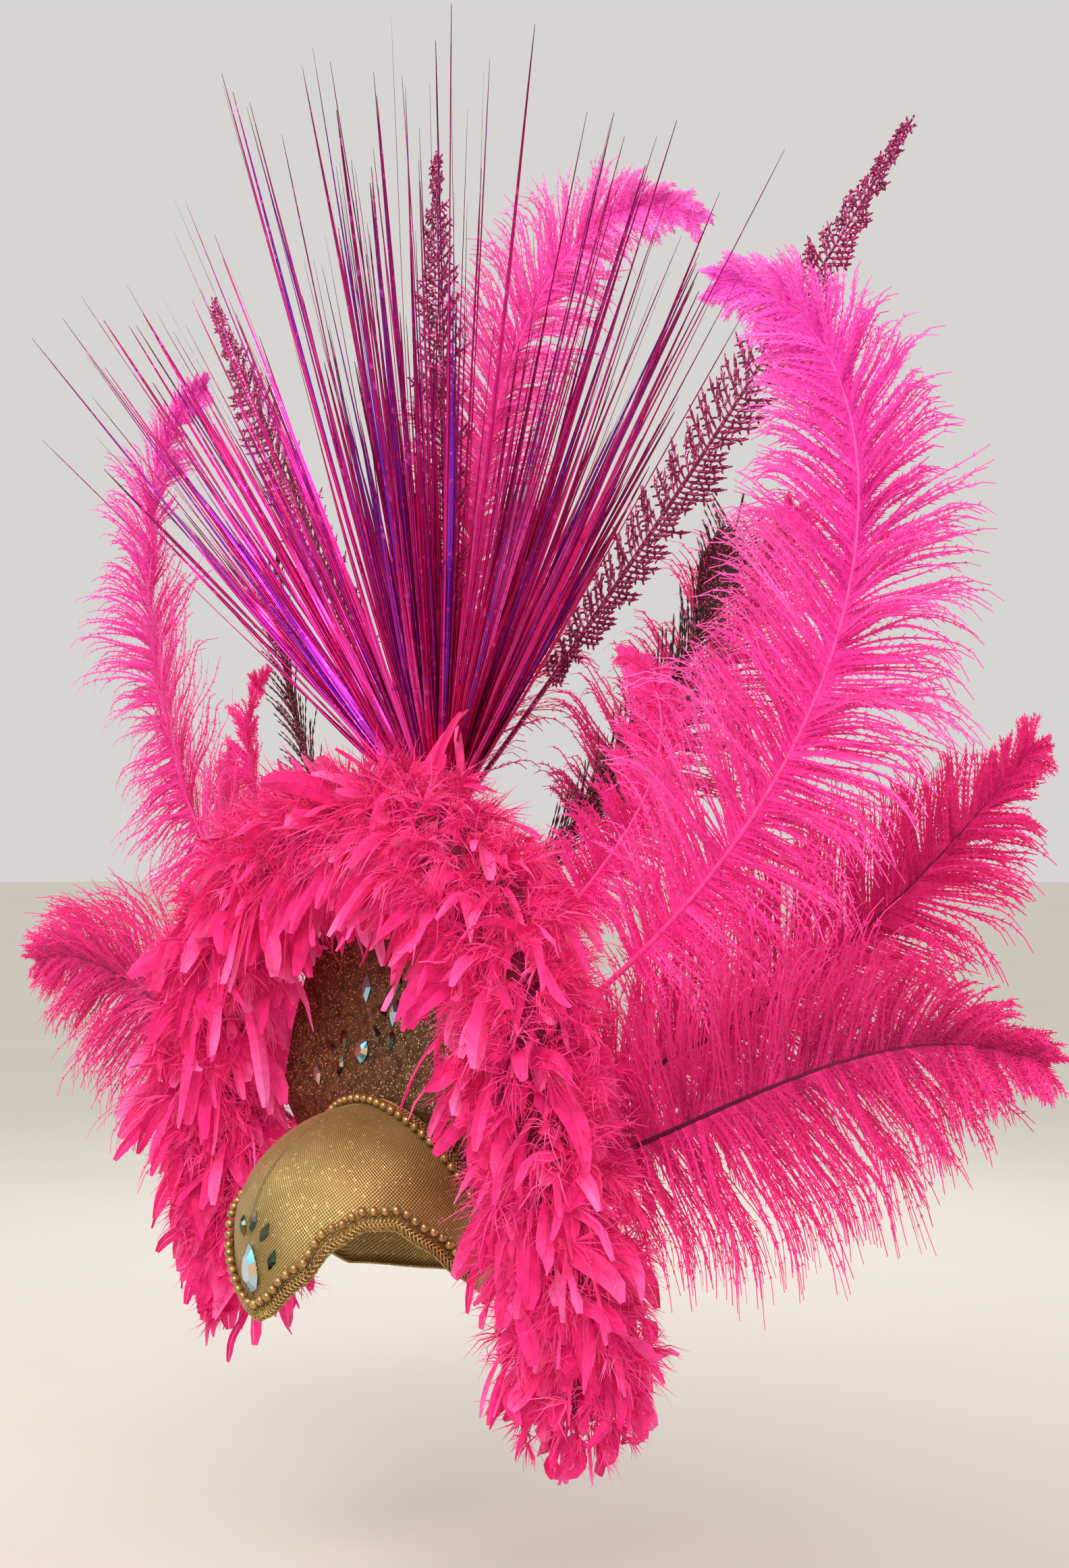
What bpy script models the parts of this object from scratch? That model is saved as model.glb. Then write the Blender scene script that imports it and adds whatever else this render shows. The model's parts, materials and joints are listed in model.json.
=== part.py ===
"""Carnival feather headdress: cap, crest plate, trims, stones, boa and plumes. Metres, +Z up, front at -Y."""
import math

import bmesh
import bpy
from mathutils import Matrix, Vector

GAP = 0.0003  # clearance between neighbouring pieces
SEAT = 0.0007  # the same beside a faceted round form

# skull cap, measured outside
CAP_HALF_WIDTH = 0.081
CAP_HALF_DEPTH = 0.101
CAP_DOME = 0.082  # height of the rounded crown above the straight side
CAP_TUCK = 0.35  # how much the side draws in below its widest line
CAP_WALL = 0.0025
CAP_TOP = 0.0030
PEAK_DROP = 0.130  # lowest point of the brow below the head's top
CAP_COLUMNS = 36
CAP_ROWS = 9

# crest plate that stands behind the cap
PLATE_HALF_WIDTH = 0.118
PLATE_TOP = 0.178
PLATE_FOOT = 0.060  # how far its ends reach down beside the head
PLATE_THICK = 0.0030
PLATE_FRONT = 0.006  # where it crosses the head's top
PLATE_LEAN = 0.16  # run back for each unit of height
PLATE_TUCK = 0.50  # run back for each unit below the head's top

# trims
BRAID_WIDTH = 0.0070
BRAID_THICK = 0.0020
BEAD_RADIUS = 0.0029
BEAD_PITCH = 0.0074
THREAD_RADIUS = 0.0011
BROW_TRIM_SPAN = 100.0  # degrees each side of the front
CREST_TRIM_FOOT = 0.052  # how far the upper trims run down beside the head

# cut stones
NAVETTE_LONG = 0.0150
NAVETTE_WIDE = 0.0068
PEAR_LONG = 0.0320
PEAR_WIDE = 0.0170
OVAL_LONG = 0.0170
OVAL_WIDE = 0.0130
RHOMB_LONG = 0.0200
RHOMB_WIDE = 0.0092
STONE_TABLE = 0.55  # share of the outline that the flat top takes
STONE_RISE = 0.30  # height as a share of the width
STONE_SEAT = 0.0008  # depth of the flat foil under it

# boa
BOA_CORE = 0.034
BOA_LOCK = 0.038  # how far the locks stand out of the core
BOA_HALF_SPAN = PLATE_HALF_WIDTH + 0.042
BOA_TOP = 0.182
BOA_LONG_END = 0.178  # how far the longer end hangs below the head's top
BOA_HANG = 0.25  # how far a lock droops, as a share of its length
BOA_SIDES = 10
BOA_STATIONS = 40

# plume rail behind the plate
RAIL_HALF_WIDTH = PLATE_HALF_WIDTH - 0.014
RAIL_TOP = 0.150
RAIL_FOOT = 0.055
RAIL_ARCH = 0.72  # share of its run that is arched, the rest hangs straight
RAIL_HEIGHT = 0.030
RAIL_THICK = 0.006
QUILL_RADIUS = 0.0022

# sprays of foil sticks and the ferns beside them
SPRAY_HEAD_RADIUS = 0.0085
SPRAY_HEAD_TOP = 0.216
SPRAY_HEAD_LONG = 0.110
SPRAY_LONG = 0.520
SPRAY_FAN = 14.0  # degrees from the middle stick to the outer ones
SPRAY_LEAN = 37.0  # degrees outward of the two side sprays
SPRAY_FORWARD = 0.10  # forward lean of a stick as a share of its sideways lean
STICK_TIP = 0.0008
STICKS = 12

# brow edge of the cap: degrees from the front, and drop as a share of PEAK_DROP
BROW_EDGE = (
    (0.0, 1.00),
    (10.0, 0.96),
    (30.0, 0.78),
    (42.0, 0.61),
    (54.0, 0.52),
    (65.0, 0.52),
    (78.0, 0.63),
    (92.0, 0.78),
    (108.0, 0.90),
    (140.0, 0.94),
    (180.0, 0.95),
)

# boa line: across as a share of BOA_HALF_SPAN, height as a share of BOA_TOP above the head's top and of
# BOA_LONG_END below it, distance behind the plate's line as a share of BOA_CORE
BOA_LINE = (
    (-1.00, -0.80, 0.9),
    (-1.06, -0.35, 0.6),
    (-1.05, 0.15, 0.3),
    (-0.92, 0.62, 0.0),
    (-0.52, 0.93, 0.0),
    (0.00, 1.00, 0.0),
    (0.52, 0.93, 0.0),
    (0.92, 0.62, 0.1),
    (1.14, 0.15, 0.3),
    (1.18, -0.35, 0.6),
    (1.14, -1.00, 1.3),
)

# plumes: root across and up as shares of the rail (down as a share of its foot), length, lean from
# upright, sweep along the length and curl at the tip in degrees, yaw of the lean, turn of the vane, half
# width, share of bare quill, locks each side
PLUMES = (
    ("tall_plume", 0.97, 0.25, 0.650, 64, -55, -95, 7, 14, 0.082, 0.20, 11),
    ("side_plume", 0.99, 0.02, 0.428, 78, -46, 7, 24, 10, 0.074, 0.16, 9),
    ("low_plume", 0.98, -0.90, 0.446, 70, -8, 42, 0, 10, 0.070, 0.16, 9),
    ("back_plume", 0.45, 0.89, 0.360, 58, -34, 0, 66, 0, 0.060, 0.26, 7),
    ("curl_plume", 0.92, 0.50, 0.280, 41, 17, -134, 8, 14, 0.032, 0.26, 6),
)
CENTRE_PLUME = ("centre_plume", 0.0, 0.95, 0.570, 0, 17, 112, 3, 0, 0.064, 0.28, 10)
GLITTER = ("glitter_feather", 0.66, 0.80, 0.342, 51, -26, -12, 15, 10, 0.024, 0.22, 8)

# ferns: side, lean and its yaw in degrees, length
FERNS = (
    ("fern_left", -1, 45.0, 172.0, 0.540),
    ("fern_centre", 0, 1.6, -90.0, 0.440),
    ("fern_right", 1, 45.0, 8.0, 0.540),
)
FERN_SWEEP = -6.0
FERN_HALF_WIDTH = 0.022
FERN_THICK = 0.003
PLUME_THICK = 0.009
CENTRE_THICK = 0.004
GLITTER_THICK = 0.004

# stones on the plate: name, kind, across, height, turn in degrees
PLATE_STONES = (
    ("stone_cross_centre", "rhomb", 0.000, 0.062, 0),
    ("stone_cross_top", "navette", 0.000, 0.081, 0),
    ("stone_cross_foot", "navette", 0.000, 0.043, 0),
    ("stone_cross_left", "navette", -0.0145, 0.062, 62),
    ("stone_cross_right", "navette", 0.0145, 0.062, -62),
    ("stone_oval", "oval", -0.030, 0.034, 0),
    ("stone_lilac", "rhomb", -0.034, 0.076, 8),
    ("stone_tilted", "navette", -0.017, 0.046, 30),
    ("stone_side_a", "navette", -0.053, 0.040, 20),
    ("stone_side_b", "navette", -0.066, 0.034, 55),
    ("stone_side_c", "navette", -0.053, 0.022, -10),
    ("stone_edge_left", "navette", -0.078, 0.014, 25),
    ("stone_edge_right", "navette", 0.078, 0.014, -25),
    ("stone_edge_low", "navette", 0.094, -0.036, -12),
)

# stones on the brow: name, kind, degrees from the front, drop as a share of PEAK_DROP, turn
BROW_STONES = (
    ("stone_peak_pear", "pear", 0.0, 0.735, 0),
    ("stone_peak_a", "navette", -7.5, 0.540, 18),
    ("stone_peak_b", "navette", 0.5, 0.505, -4),
    ("stone_peak_c", "navette", 9.0, 0.550, -26),
    ("stone_peak_d", "navette", 13.5, 0.680, -20),
)

COLOURS = {
    "gold_cloth": ((0.28, 0.17, 0.04), 0.42, 0.6),
    "plate_cloth": ((0.15, 0.08, 0.03), 0.50, 0.5),
    "gimp": ((0.48, 0.29, 0.07), 0.45, 0.6),
    "bronze_bead": ((0.36, 0.20, 0.07), 0.28, 0.8),
    "crystal": ((0.75, 0.72, 0.85), 0.08, 0.0),
    "vitrail": ((0.10, 0.13, 0.06), 0.10, 0.0),
    "boa_down": ((1.00, 0.03, 0.20), 0.85, 0.0),
    "ostrich": ((0.90, 0.03, 0.27), 0.80, 0.0),
    "glitter": ((0.07, 0.02, 0.03), 0.45, 0.3),
    "fern": ((0.27, 0.03, 0.10), 0.45, 0.4),
    "foil": ((0.40, 0.01, 0.17), 0.22, 0.8),
    "board": ((0.30, 0.02, 0.08), 0.80, 0.0),
}


def clear_scene():
    for old in list(bpy.data.objects):
        bpy.data.objects.remove(old, do_unlink=True)


def collection(name):
    made = bpy.data.collections.new(name)
    bpy.context.scene.collection.children.link(made)
    return made


def material(name):
    if name in bpy.data.materials:
        return bpy.data.materials[name]
    colour, roughness, metallic = COLOURS[name]
    made = bpy.data.materials.new(name)
    made.use_nodes = True
    shader = made.node_tree.nodes["Principled BSDF"]
    shader.inputs["Base Color"].default_value = (*colour, 1.0)
    shader.inputs["Roughness"].default_value = roughness
    shader.inputs["Metallic"].default_value = metallic
    return made


def add_mesh(name, bm, finish, where):
    bmesh.ops.recalc_face_normals(bm, faces=bm.faces)
    mesh = bpy.data.meshes.new(name)
    bm.to_mesh(mesh)
    bm.free()
    mesh.shade_smooth()
    mesh.set_sharp_from_angle(angle=math.radians(35))
    mesh.materials.append(material(finish))
    made = bpy.data.objects.new(name, mesh)
    where.objects.link(made)
    return made


def loft(name, rings, finish, where):
    """Joins rings of points, each with the same count, and closes both ends."""
    bm = bmesh.new()
    loops = [[bm.verts.new(p) for p in ring] for ring in rings]
    count = len(loops[0])
    for one, two in zip(loops, loops[1:]):
        for i in range(count):
            j = (i + 1) % count
            bm.faces.new((one[i], one[j], two[j], two[i]))
    bm.faces.new(loops[0])
    bm.faces.new(loops[-1])
    return add_mesh(name, bm, finish, where)


def between(table, at, column):
    """Smooth value of a table's column at a place along its first column."""
    for low, high in zip(table, table[1:]):
        if at <= high[0]:
            share = (at - low[0]) / (high[0] - low[0])
            share = share * share * (3.0 - 2.0 * share) * 0.4 + share * 0.6
            return low[column] + (high[column] - low[column]) * share
    return table[-1][column]


def spread_evenly(points, pitch):
    """Points at an equal pitch along a line, both ends kept."""
    steps = [(b - a).length for a, b in zip(points, points[1:])]
    count = max(2, round(sum(steps) / pitch))
    out = [points[0].copy()]
    leg, used = 0, 0.0
    for k in range(1, count):
        goal = sum(steps) * k / count
        while used + steps[leg] < goal:
            used += steps[leg]
            leg += 1
        out.append(points[leg].lerp(points[leg + 1], (goal - used) / steps[leg]))
    out.append(points[-1].copy())
    return out


def smooth_line(points, steps):
    """Catmull-Rom line through chosen points."""
    ends = [points[0] * 2.0 - points[1], *points, points[-1] * 2.0 - points[-2]]
    line = []
    for a, b, c, d in zip(ends, ends[1:], ends[2:], ends[3:]):
        for k in range(steps):
            t = k / steps
            line.append(
                0.5
                * (
                    2.0 * b
                    + (c - a) * t
                    + (2.0 * a - 5.0 * b + 4.0 * c - d) * t**2
                    + (3.0 * b - a - 3.0 * c + d) * t**3
                )
            )
    line.append(points[-1].copy())
    return line


# Skull cap


def cap_share(z):
    """Width of the head form at a height, as a share of its widest."""
    equator = CAP_TOP - CAP_DOME
    if z >= equator:
        return math.sqrt(max(0.0, 1.0 - ((z - equator) / CAP_DOME) ** 2))
    return 1.0 - CAP_TUCK * ((equator - z) / PEAK_DROP) ** 2


def cap_point(degrees, z, out=0.0):
    """Point on the cap's outer face, or outside it by a distance."""
    angle = math.radians(degrees)
    share = cap_share(z)
    face = Vector((CAP_HALF_WIDTH * share * math.sin(angle), -CAP_HALF_DEPTH * share * math.cos(angle), z))
    return face + cap_normal(degrees, z) * out if out else face


def cap_normal(degrees, z):
    """Outward normal of the cap's outer face."""
    face = cap_point(degrees, z)
    above = z - (CAP_TOP - CAP_DOME)
    rise = above / CAP_DOME**2
    if above < 0.0:
        rise = 2.0 * CAP_TUCK * above / PEAK_DROP**2 * cap_share(z)
    return Vector((face.x / CAP_HALF_WIDTH**2, face.y / CAP_HALF_DEPTH**2, rise)).normalized()


def brow_height(degrees):
    turned = abs((degrees + 180.0) % 360.0 - 180.0)
    return -PEAK_DROP * between(BROW_EDGE, turned, 1)


def cap_row_height(degrees, share):
    """Height at a share of the way from the crown to the edge, in even steps along the surface."""
    equator = CAP_TOP - CAP_DOME
    quarter = 0.5 * math.pi * CAP_DOME
    run = share * (quarter + max(0.0, equator - brow_height(degrees)))
    if brow_height(degrees) > equator:
        run = share * math.acos((brow_height(degrees) - equator) / CAP_DOME) * CAP_DOME
    if run < quarter:
        return equator + CAP_DOME * math.cos(run / CAP_DOME)
    return equator - (run - quarter)


def cap_sheet(out):
    bm = bmesh.new()
    top = bm.verts.new((0.0, 0.0, CAP_TOP + out))
    rows = []
    for r in range(1, CAP_ROWS + 1):
        row = []
        for c in range(CAP_COLUMNS):
            degrees = 360.0 * c / CAP_COLUMNS
            row.append(bm.verts.new(cap_point(degrees, cap_row_height(degrees, r / CAP_ROWS), out)))
        rows.append(row)
    for c in range(CAP_COLUMNS):
        n = (c + 1) % CAP_COLUMNS
        bm.faces.new((top, rows[0][c], rows[0][n]))
        for upper, lower in zip(rows, rows[1:]):
            bm.faces.new((upper[c], lower[c], lower[n], upper[n]))
    return bm, rows[-1]


def skull_cap(where):
    bm, _ = cap_sheet(0.0)
    cap = add_mesh("skull_cap", bm, "gold_cloth", where)
    wall = cap.modifiers.new("wall", "SOLIDIFY")
    wall.thickness = CAP_WALL
    wall.offset = -1.0
    return cap


def head_cutter(out, where):
    """The cap's outer form, closed below, that trims what stands on it."""
    bm, edge = cap_sheet(out)
    bm.faces.new(list(reversed(edge)))
    bmesh.ops.triangulate(bm, faces=bm.faces)
    cutter = add_mesh("head_cutter", bm, "board", where)
    cutter.hide_render = True
    cutter.display_type = "WIRE"
    return cutter


# Crest plate and rail


def plate_y(z):
    """Middle of the plate's thickness at a height."""
    return PLATE_FRONT + (PLATE_LEAN * z if z > 0.0 else -PLATE_TUCK * z)


def arch_width(share):
    """Half width of a round-topped arch, as a share, at a share of its height above the head's top."""
    return math.sqrt(max(0.0, 1.0 - max(0.0, share) ** 2.4))


def arch_sheet():
    """Open arched sheet that follows the plate's lean."""
    bm = bmesh.new()
    heights = [-PLATE_FOOT, -PLATE_FOOT * 0.5, 0.0]
    heights += [PLATE_TOP * math.sin(math.radians(a)) for a in (15, 30, 44, 57, 69, 80)]
    shares = (-1.0, -0.6, 0.0, 0.6, 1.0)
    rows = []
    for z in heights:
        wide = PLATE_HALF_WIDTH * arch_width(z / PLATE_TOP)
        rows.append([bm.verts.new((wide * s, plate_y(z), z)) for s in shares])
    for one, two in zip(rows, rows[1:]):
        for i in range(len(shares) - 1):
            bm.faces.new((one[i], one[i + 1], two[i + 1], two[i]))
    crown = bm.verts.new((0.0, plate_y(PLATE_TOP), PLATE_TOP))
    for i in range(len(shares) - 1):
        bm.faces.new((rows[-1][i], rows[-1][i + 1], crown))
    return bm


def crest_plate(where, cutter):
    plate = add_mesh("crest_plate", arch_sheet(), "plate_cloth", where)
    wall = plate.modifiers.new("wall", "SOLIDIFY")
    wall.thickness = PLATE_THICK
    wall.offset = 0.0
    cut = plate.modifiers.new("head", "BOOLEAN")
    cut.operation = "DIFFERENCE"
    cut.object = cutter
    return plate


def rail_point(share):
    """Middle of the rail at a share of the way round, from -1 at the left foot to 1 at the right."""
    if abs(share) > RAIL_ARCH:
        drop = (abs(share) - RAIL_ARCH) / (1.0 - RAIL_ARCH)
        return Vector((math.copysign(RAIL_HALF_WIDTH, share), 0.0, -RAIL_FOOT * drop))
    angle = share / RAIL_ARCH * 0.5 * math.pi
    return Vector((RAIL_HALF_WIDTH * math.sin(angle), 0.0, RAIL_TOP * math.cos(angle)))


def rail_back(z):
    """Back face of the rail at a height."""
    return plate_y(z) + PLATE_THICK * 0.6 + SEAT + RAIL_THICK


def plume_rail(where):
    rings = []
    count = 28
    for k in range(count + 1):
        share = 2.0 * k / count - 1.0
        middle = rail_point(share)
        along = (rail_point(min(1.0, share + 0.02)) - rail_point(max(-1.0, share - 0.02))).normalized()
        across = Vector((along.z, 0.0, -along.x)) * RAIL_HEIGHT * 0.5
        ring = []
        for side, depth in ((-1, 0.0), (1, 0.0), (1, 1.0), (-1, 1.0)):
            p = middle + across * side
            ring.append(Vector((p.x, rail_back(p.z) - RAIL_THICK * (1.0 - depth), p.z)))
        rings.append(ring)
    return loft("plume_rail", rings, "board", where)


# Trims


def ribbon(name, points, normals, where):
    """Flat braid along a line on a surface."""
    rings = []
    for k, (p, n) in enumerate(zip(points, normals)):
        along = (points[min(k + 1, len(points) - 1)] - points[max(k - 1, 0)]).normalized()
        across = along.cross(n).normalized() * BRAID_WIDTH * 0.5
        low = n * SEAT
        high = n * (SEAT + BRAID_THICK)
        rings.append([p - across + low, p + across + low, p + across * 0.7 + high, p - across * 0.7 + high])
    return loft(name, rings, "gimp", where)


def bead_string(name, points, normals, where):
    """Round beads on their thread, one turned profile swept along the line."""
    sides = 10
    profile = ((-0.5, THREAD_RADIUS), (-0.17, BEAD_RADIUS), (0.17, BEAD_RADIUS))
    rings = []
    for k in range(len(points)):
        along = (points[min(k + 1, len(points) - 1)] - points[max(k - 1, 0)]).normalized()
        up = normals[k]
        side = along.cross(up).normalized()
        middle = points[k] + up * (BEAD_RADIUS + SEAT)
        stops = profile if k < len(points) - 1 else (*profile, (0.5, THREAD_RADIUS))
        for shift, radius in stops:
            at = middle + along * (shift * BEAD_PITCH)
            ring = []
            for i in range(sides):
                angle = 2.0 * math.pi * i / sides
                ring.append(at + (side * math.cos(angle) + up * math.sin(angle)) * radius)
            rings.append(ring)
    return loft(name, rings, "bronze_bead", where)


def brow_line(rise):
    """Line on the cap above its lower edge, from one temple round the front to the other."""
    line = []
    degrees = -BROW_TRIM_SPAN
    while degrees <= BROW_TRIM_SPAN:
        line.append(cap_point(degrees, brow_height(degrees) + rise * brow_stretch(degrees)))
        degrees += 2.0
    return line


def brow_stretch(degrees):
    """A steep edge needs more height for the same distance from it."""
    step = 3.0
    level = -0.7 * PEAK_DROP
    run = (cap_point(degrees + step, level) - cap_point(degrees - step, level)).length
    climb = brow_height(degrees + step) - brow_height(degrees - step)
    return math.hypot(run, climb) / run


def crest_line(rise):
    """Line over the head in front of the plate, from one side to the other."""
    line = []
    count = 60
    equator = CAP_TOP - CAP_DOME
    last = math.acos((-CREST_TRIM_FOOT - equator) / CAP_DOME)
    for k in range(count + 1):
        angle = last * (2.0 * k / count - 1.0)
        z = equator + CAP_DOME * math.cos(angle)
        for _ in range(4):
            y = plate_y(z) - PLATE_THICK * 0.5 - rise
            left = math.sqrt(1.0 - (y / CAP_HALF_DEPTH) ** 2)
            z = equator + CAP_DOME * math.cos(angle) * left
        line.append(Vector((CAP_HALF_WIDTH * math.sin(angle) * left, y, z)))
    return line


def on_cap(points):
    """The same points moved onto the cap, with its normals there."""
    moved, normals = [], []
    for p in points:
        degrees = math.degrees(math.atan2(p.x / CAP_HALF_WIDTH, -p.y / CAP_HALF_DEPTH))
        z = min(p.z, CAP_TOP - 0.0001)
        moved.append(cap_point(degrees, z))
        normals.append(cap_normal(degrees, z))
    return moved, normals


def trims(where):
    braid_rise = BRAID_WIDTH * 0.5
    bead_rise = BRAID_WIDTH + SEAT + BEAD_RADIUS
    ribbon("brow_braid", *on_cap(spread_evenly(brow_line(braid_rise), BEAD_PITCH)), where)
    bead_string("brow_pearls", *on_cap(spread_evenly(brow_line(bead_rise), BEAD_PITCH)), where)
    slant = math.hypot(1.0, PLATE_TUCK)
    crest_braid_rise = (BRAID_WIDTH * 0.5 + BRAID_THICK) * slant
    ribbon("crest_braid", *on_cap(spread_evenly(crest_line(crest_braid_rise), BEAD_PITCH)), where)
    crest_bead_rise = crest_braid_rise + (bead_rise - braid_rise + 2.0 * SEAT) * slant
    bead_string("crest_pearls", *on_cap(spread_evenly(crest_line(crest_bead_rise), BEAD_PITCH)), where)


# Stones


def four_cornered(belly):
    """Eight-cornered outline: a rhombus at a belly of one half, and rounder sides above that."""
    return [
        (0, 1),
        (belly, 0.5),
        (1, 0),
        (belly, -0.5),
        (0, -1),
        (-belly, -0.5),
        (-1, 0),
        (-belly, 0.5),
    ]


def stone_outline(kind):
    """Length, width and outline points as shares of half of them."""
    if kind == "navette":
        return NAVETTE_LONG, NAVETTE_WIDE, four_cornered(0.62)
    if kind == "rhomb":
        return RHOMB_LONG, RHOMB_WIDE, four_cornered(0.50)
    count = 10
    ring = [(math.sin(2 * math.pi * k / count), math.cos(2 * math.pi * k / count)) for k in range(count)]
    if kind == "oval":
        return OVAL_LONG, OVAL_WIDE, ring
    return PEAR_LONG, PEAR_WIDE, [(x * (0.78 - 0.30 * y) / 0.92, y) for x, y in ring]


def cut_stone(name, kind, seat, normal, turn, finish, where):
    """Flat back, straight girdle, sloped facets and a table."""
    long, wide, outline = stone_outline(kind)
    rise = wide * STONE_RISE
    levels = ((0.86, GAP), (1.0, rise * 0.35), (STONE_TABLE, rise + STONE_SEAT))
    up = Vector((0.0, 0.0, 1.0))
    side = up.cross(normal).normalized()
    up = normal.cross(side).normalized()
    spin = Matrix.Rotation(math.radians(turn), 3, normal)
    rings = []
    for share, height in levels:
        ring = []
        for x, y in outline:
            flat = side * (x * wide * 0.5 * share) + up * (y * long * 0.5 * share)
            ring.append(seat + spin @ flat + normal * height)
        rings.append(ring)
    return loft(name, rings, finish, where)


def stones(where):
    for name, kind, across, z, turn in PLATE_STONES:
        seat = Vector((across, plate_y(z) - PLATE_THICK * 0.5, z))
        lean = PLATE_LEAN if z > 0.0 else -PLATE_TUCK
        normal = Vector((0.0, -1.0, lean)).normalized()
        finish = "vitrail" if kind == "navette" and "edge" not in name else "crystal"
        cut_stone(name, kind, seat, normal, turn, finish, where)
    for name, kind, degrees, drop, turn in BROW_STONES:
        seat = cap_point(degrees, -PEAK_DROP * drop, -GAP)
        finish = "crystal" if kind == "pear" else "vitrail"
        cut_stone(name, kind, seat, cap_normal(degrees, -PEAK_DROP * drop), turn, finish, where)


# Boa


def boa_line():
    points = []
    for across, height, back in BOA_LINE:
        z = height * (BOA_TOP if height > 0.0 else BOA_LONG_END)
        line_y = plate_y(max(z, -0.02)) - PLATE_THICK * 0.5 - GAP - BOA_CORE
        points.append(Vector((across * BOA_HALF_SPAN, line_y + back * BOA_CORE, z)))
    line = smooth_line(points, 12)
    length = sum((b - a).length for a, b in zip(line, line[1:]))
    return spread_evenly(line, length / BOA_STATIONS)


def boa(where):
    """Thick core with pointed locks; its back lies flat towards the plate."""
    line = boa_line()
    rings = []
    for k, p in enumerate(line):
        along = (line[min(k + 1, len(line) - 1)] - line[max(k - 1, 0)]).normalized()
        back = Vector((0.0, 1.0, 0.0))
        side = along.cross(back).normalized()
        back = side.cross(along).normalized()
        end = min(1.0, 0.45 + 0.3 * min(k, len(line) - 1 - k))
        ring = []
        for i in range(BOA_SIDES):
            angle = 2.0 * math.pi * (i + 0.5) / BOA_SIDES
            facing = -math.sin(angle)
            lock = BOA_LOCK * (0.55 + 0.45 * math.sin(5.1 * k + 2.3 * i)) if (i + k) % 2 == 0 else 0.0
            lock *= max(0.0, min(1.0, 0.75 + facing))
            radius = (BOA_CORE + lock) * end
            out = side * math.cos(angle) + back * math.sin(angle)
            ring.append(p + out * radius - Vector((0.0, 0.0, BOA_HANG * lock)))
        rings.append(ring)
    return loft("boa", rings, "boa_down", where)


# Plumes, glitter feathers and ferns


def plume_line(root, length, lean, sweep, curl, yaw, steps):
    """Quill that leaves its root at a lean and bends along its length."""
    points = [root.copy()]
    for k in range(steps):
        t = (k + 0.5) / steps
        angle = math.radians(lean + sweep * t + curl * t**4)
        heading = Vector((math.sin(angle) * math.cos(yaw), math.sin(angle) * math.sin(yaw), math.cos(angle)))
        points.append(points[-1] + heading * (length / steps))
    return points


def vane(name, line, facing, half_width, bare, locks, thick, finish, where):
    """Feather body round its quill, with a row of swept locks on each side."""
    steps = len(line) - 1
    first = bare * steps
    rings = []
    for k, p in enumerate(line):
        along = (line[min(k + 1, steps)] - line[max(k - 1, 0)]).normalized()
        side = along.cross(facing).normalized()
        front = side.cross(along).normalized()
        share = max(0.0, (k - first) / (steps - first))
        full = math.sin(math.pi * min(1.0, share * 1.02 + 0.02) ** 0.62) ** 0.6 if share > 0.0 else 0.0
        notch = 0.66 if k % 2 else 1.0
        wide = max(QUILL_RADIUS, half_width * full * notch)
        sweep = along * (0.30 * wide) if share > 0.0 else Vector()
        deep = QUILL_RADIUS + (thick * 0.5 - QUILL_RADIUS * 0.5) * full
        inner = max(QUILL_RADIUS * 0.6, wide * 0.4)
        droop = front * (-0.10 * wide)
        tip = sweep + droop
        over, under = front * deep, front * -deep
        ring = [p - side * wide + tip, p - side * inner + over, p + side * inner + over]
        ring += [p + side * wide + tip, p + side * inner + under, p - side * inner + under]
        rings.append(ring)
    return loft(name, rings, finish, where)


def plume(row, side, name, thick, finish, where):
    _, across, up, length, lean, sweep, curl, yaw, turn, width, bare, locks = row
    z = up * (RAIL_TOP if up > 0.0 else RAIL_FOOT)
    away = math.sin(math.radians(lean)) * math.sin(math.radians(yaw))
    depth = QUILL_RADIUS * math.sqrt(1.0 - away * away)
    root = Vector((across * RAIL_HALF_WIDTH * side, rail_back(z) + SEAT + depth, z))
    if across == 0.0:
        root.y = fern_y() + 2.0 * QUILL_RADIUS + SEAT
    heading = math.radians(yaw if side >= 0 else 180.0 - yaw)
    line = plume_line(root, length, lean, sweep, curl, heading, 2 * locks)
    facing = Vector((math.sin(math.radians(turn)) * side, -math.cos(math.radians(turn)), 0.0))
    return vane(name, line, facing, width, bare, locks, thick, finish, where)


def feathers(where):
    for row in PLUMES:
        for side, word in ((-1, "left"), (1, "right")):
            plume(row, side, f"{row[0]}_{word}", PLUME_THICK, "ostrich", where)
    plume(CENTRE_PLUME, 1, CENTRE_PLUME[0], CENTRE_THICK, "ostrich", where)
    for side, word in ((-1, "left"), (1, "right")):
        plume(GLITTER, side, f"{GLITTER[0]}_{word}", GLITTER_THICK, "glitter", where)


def fern_y():
    """Middle of the fern stems, which stand against the backs of the spray stems."""
    return spray_y() + SPRAY_HEAD_RADIUS + SEAT + QUILL_RADIUS


def ferns(where):
    for name, side, lean, yaw, length in FERNS:
        root = Vector((side * 2.0 * SPRAY_HEAD_RADIUS, fern_y(), SPRAY_HEAD_TOP - 0.1 * SPRAY_HEAD_LONG))
        line = plume_line(root, length, lean, FERN_SWEEP * abs(side), 0.0, math.radians(yaw), 16)
        vane(name, line, Vector((0.0, -1.0, 0.0)), FERN_HALF_WIDTH, 0.2, 8, FERN_THICK, "fern", where)


# Sprays


def spray_y():
    """Middle of the spray stems, which pass up behind the rail's top."""
    return rail_back(RAIL_TOP + RAIL_HEIGHT * 0.5) + SEAT + SPRAY_HEAD_RADIUS


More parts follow.
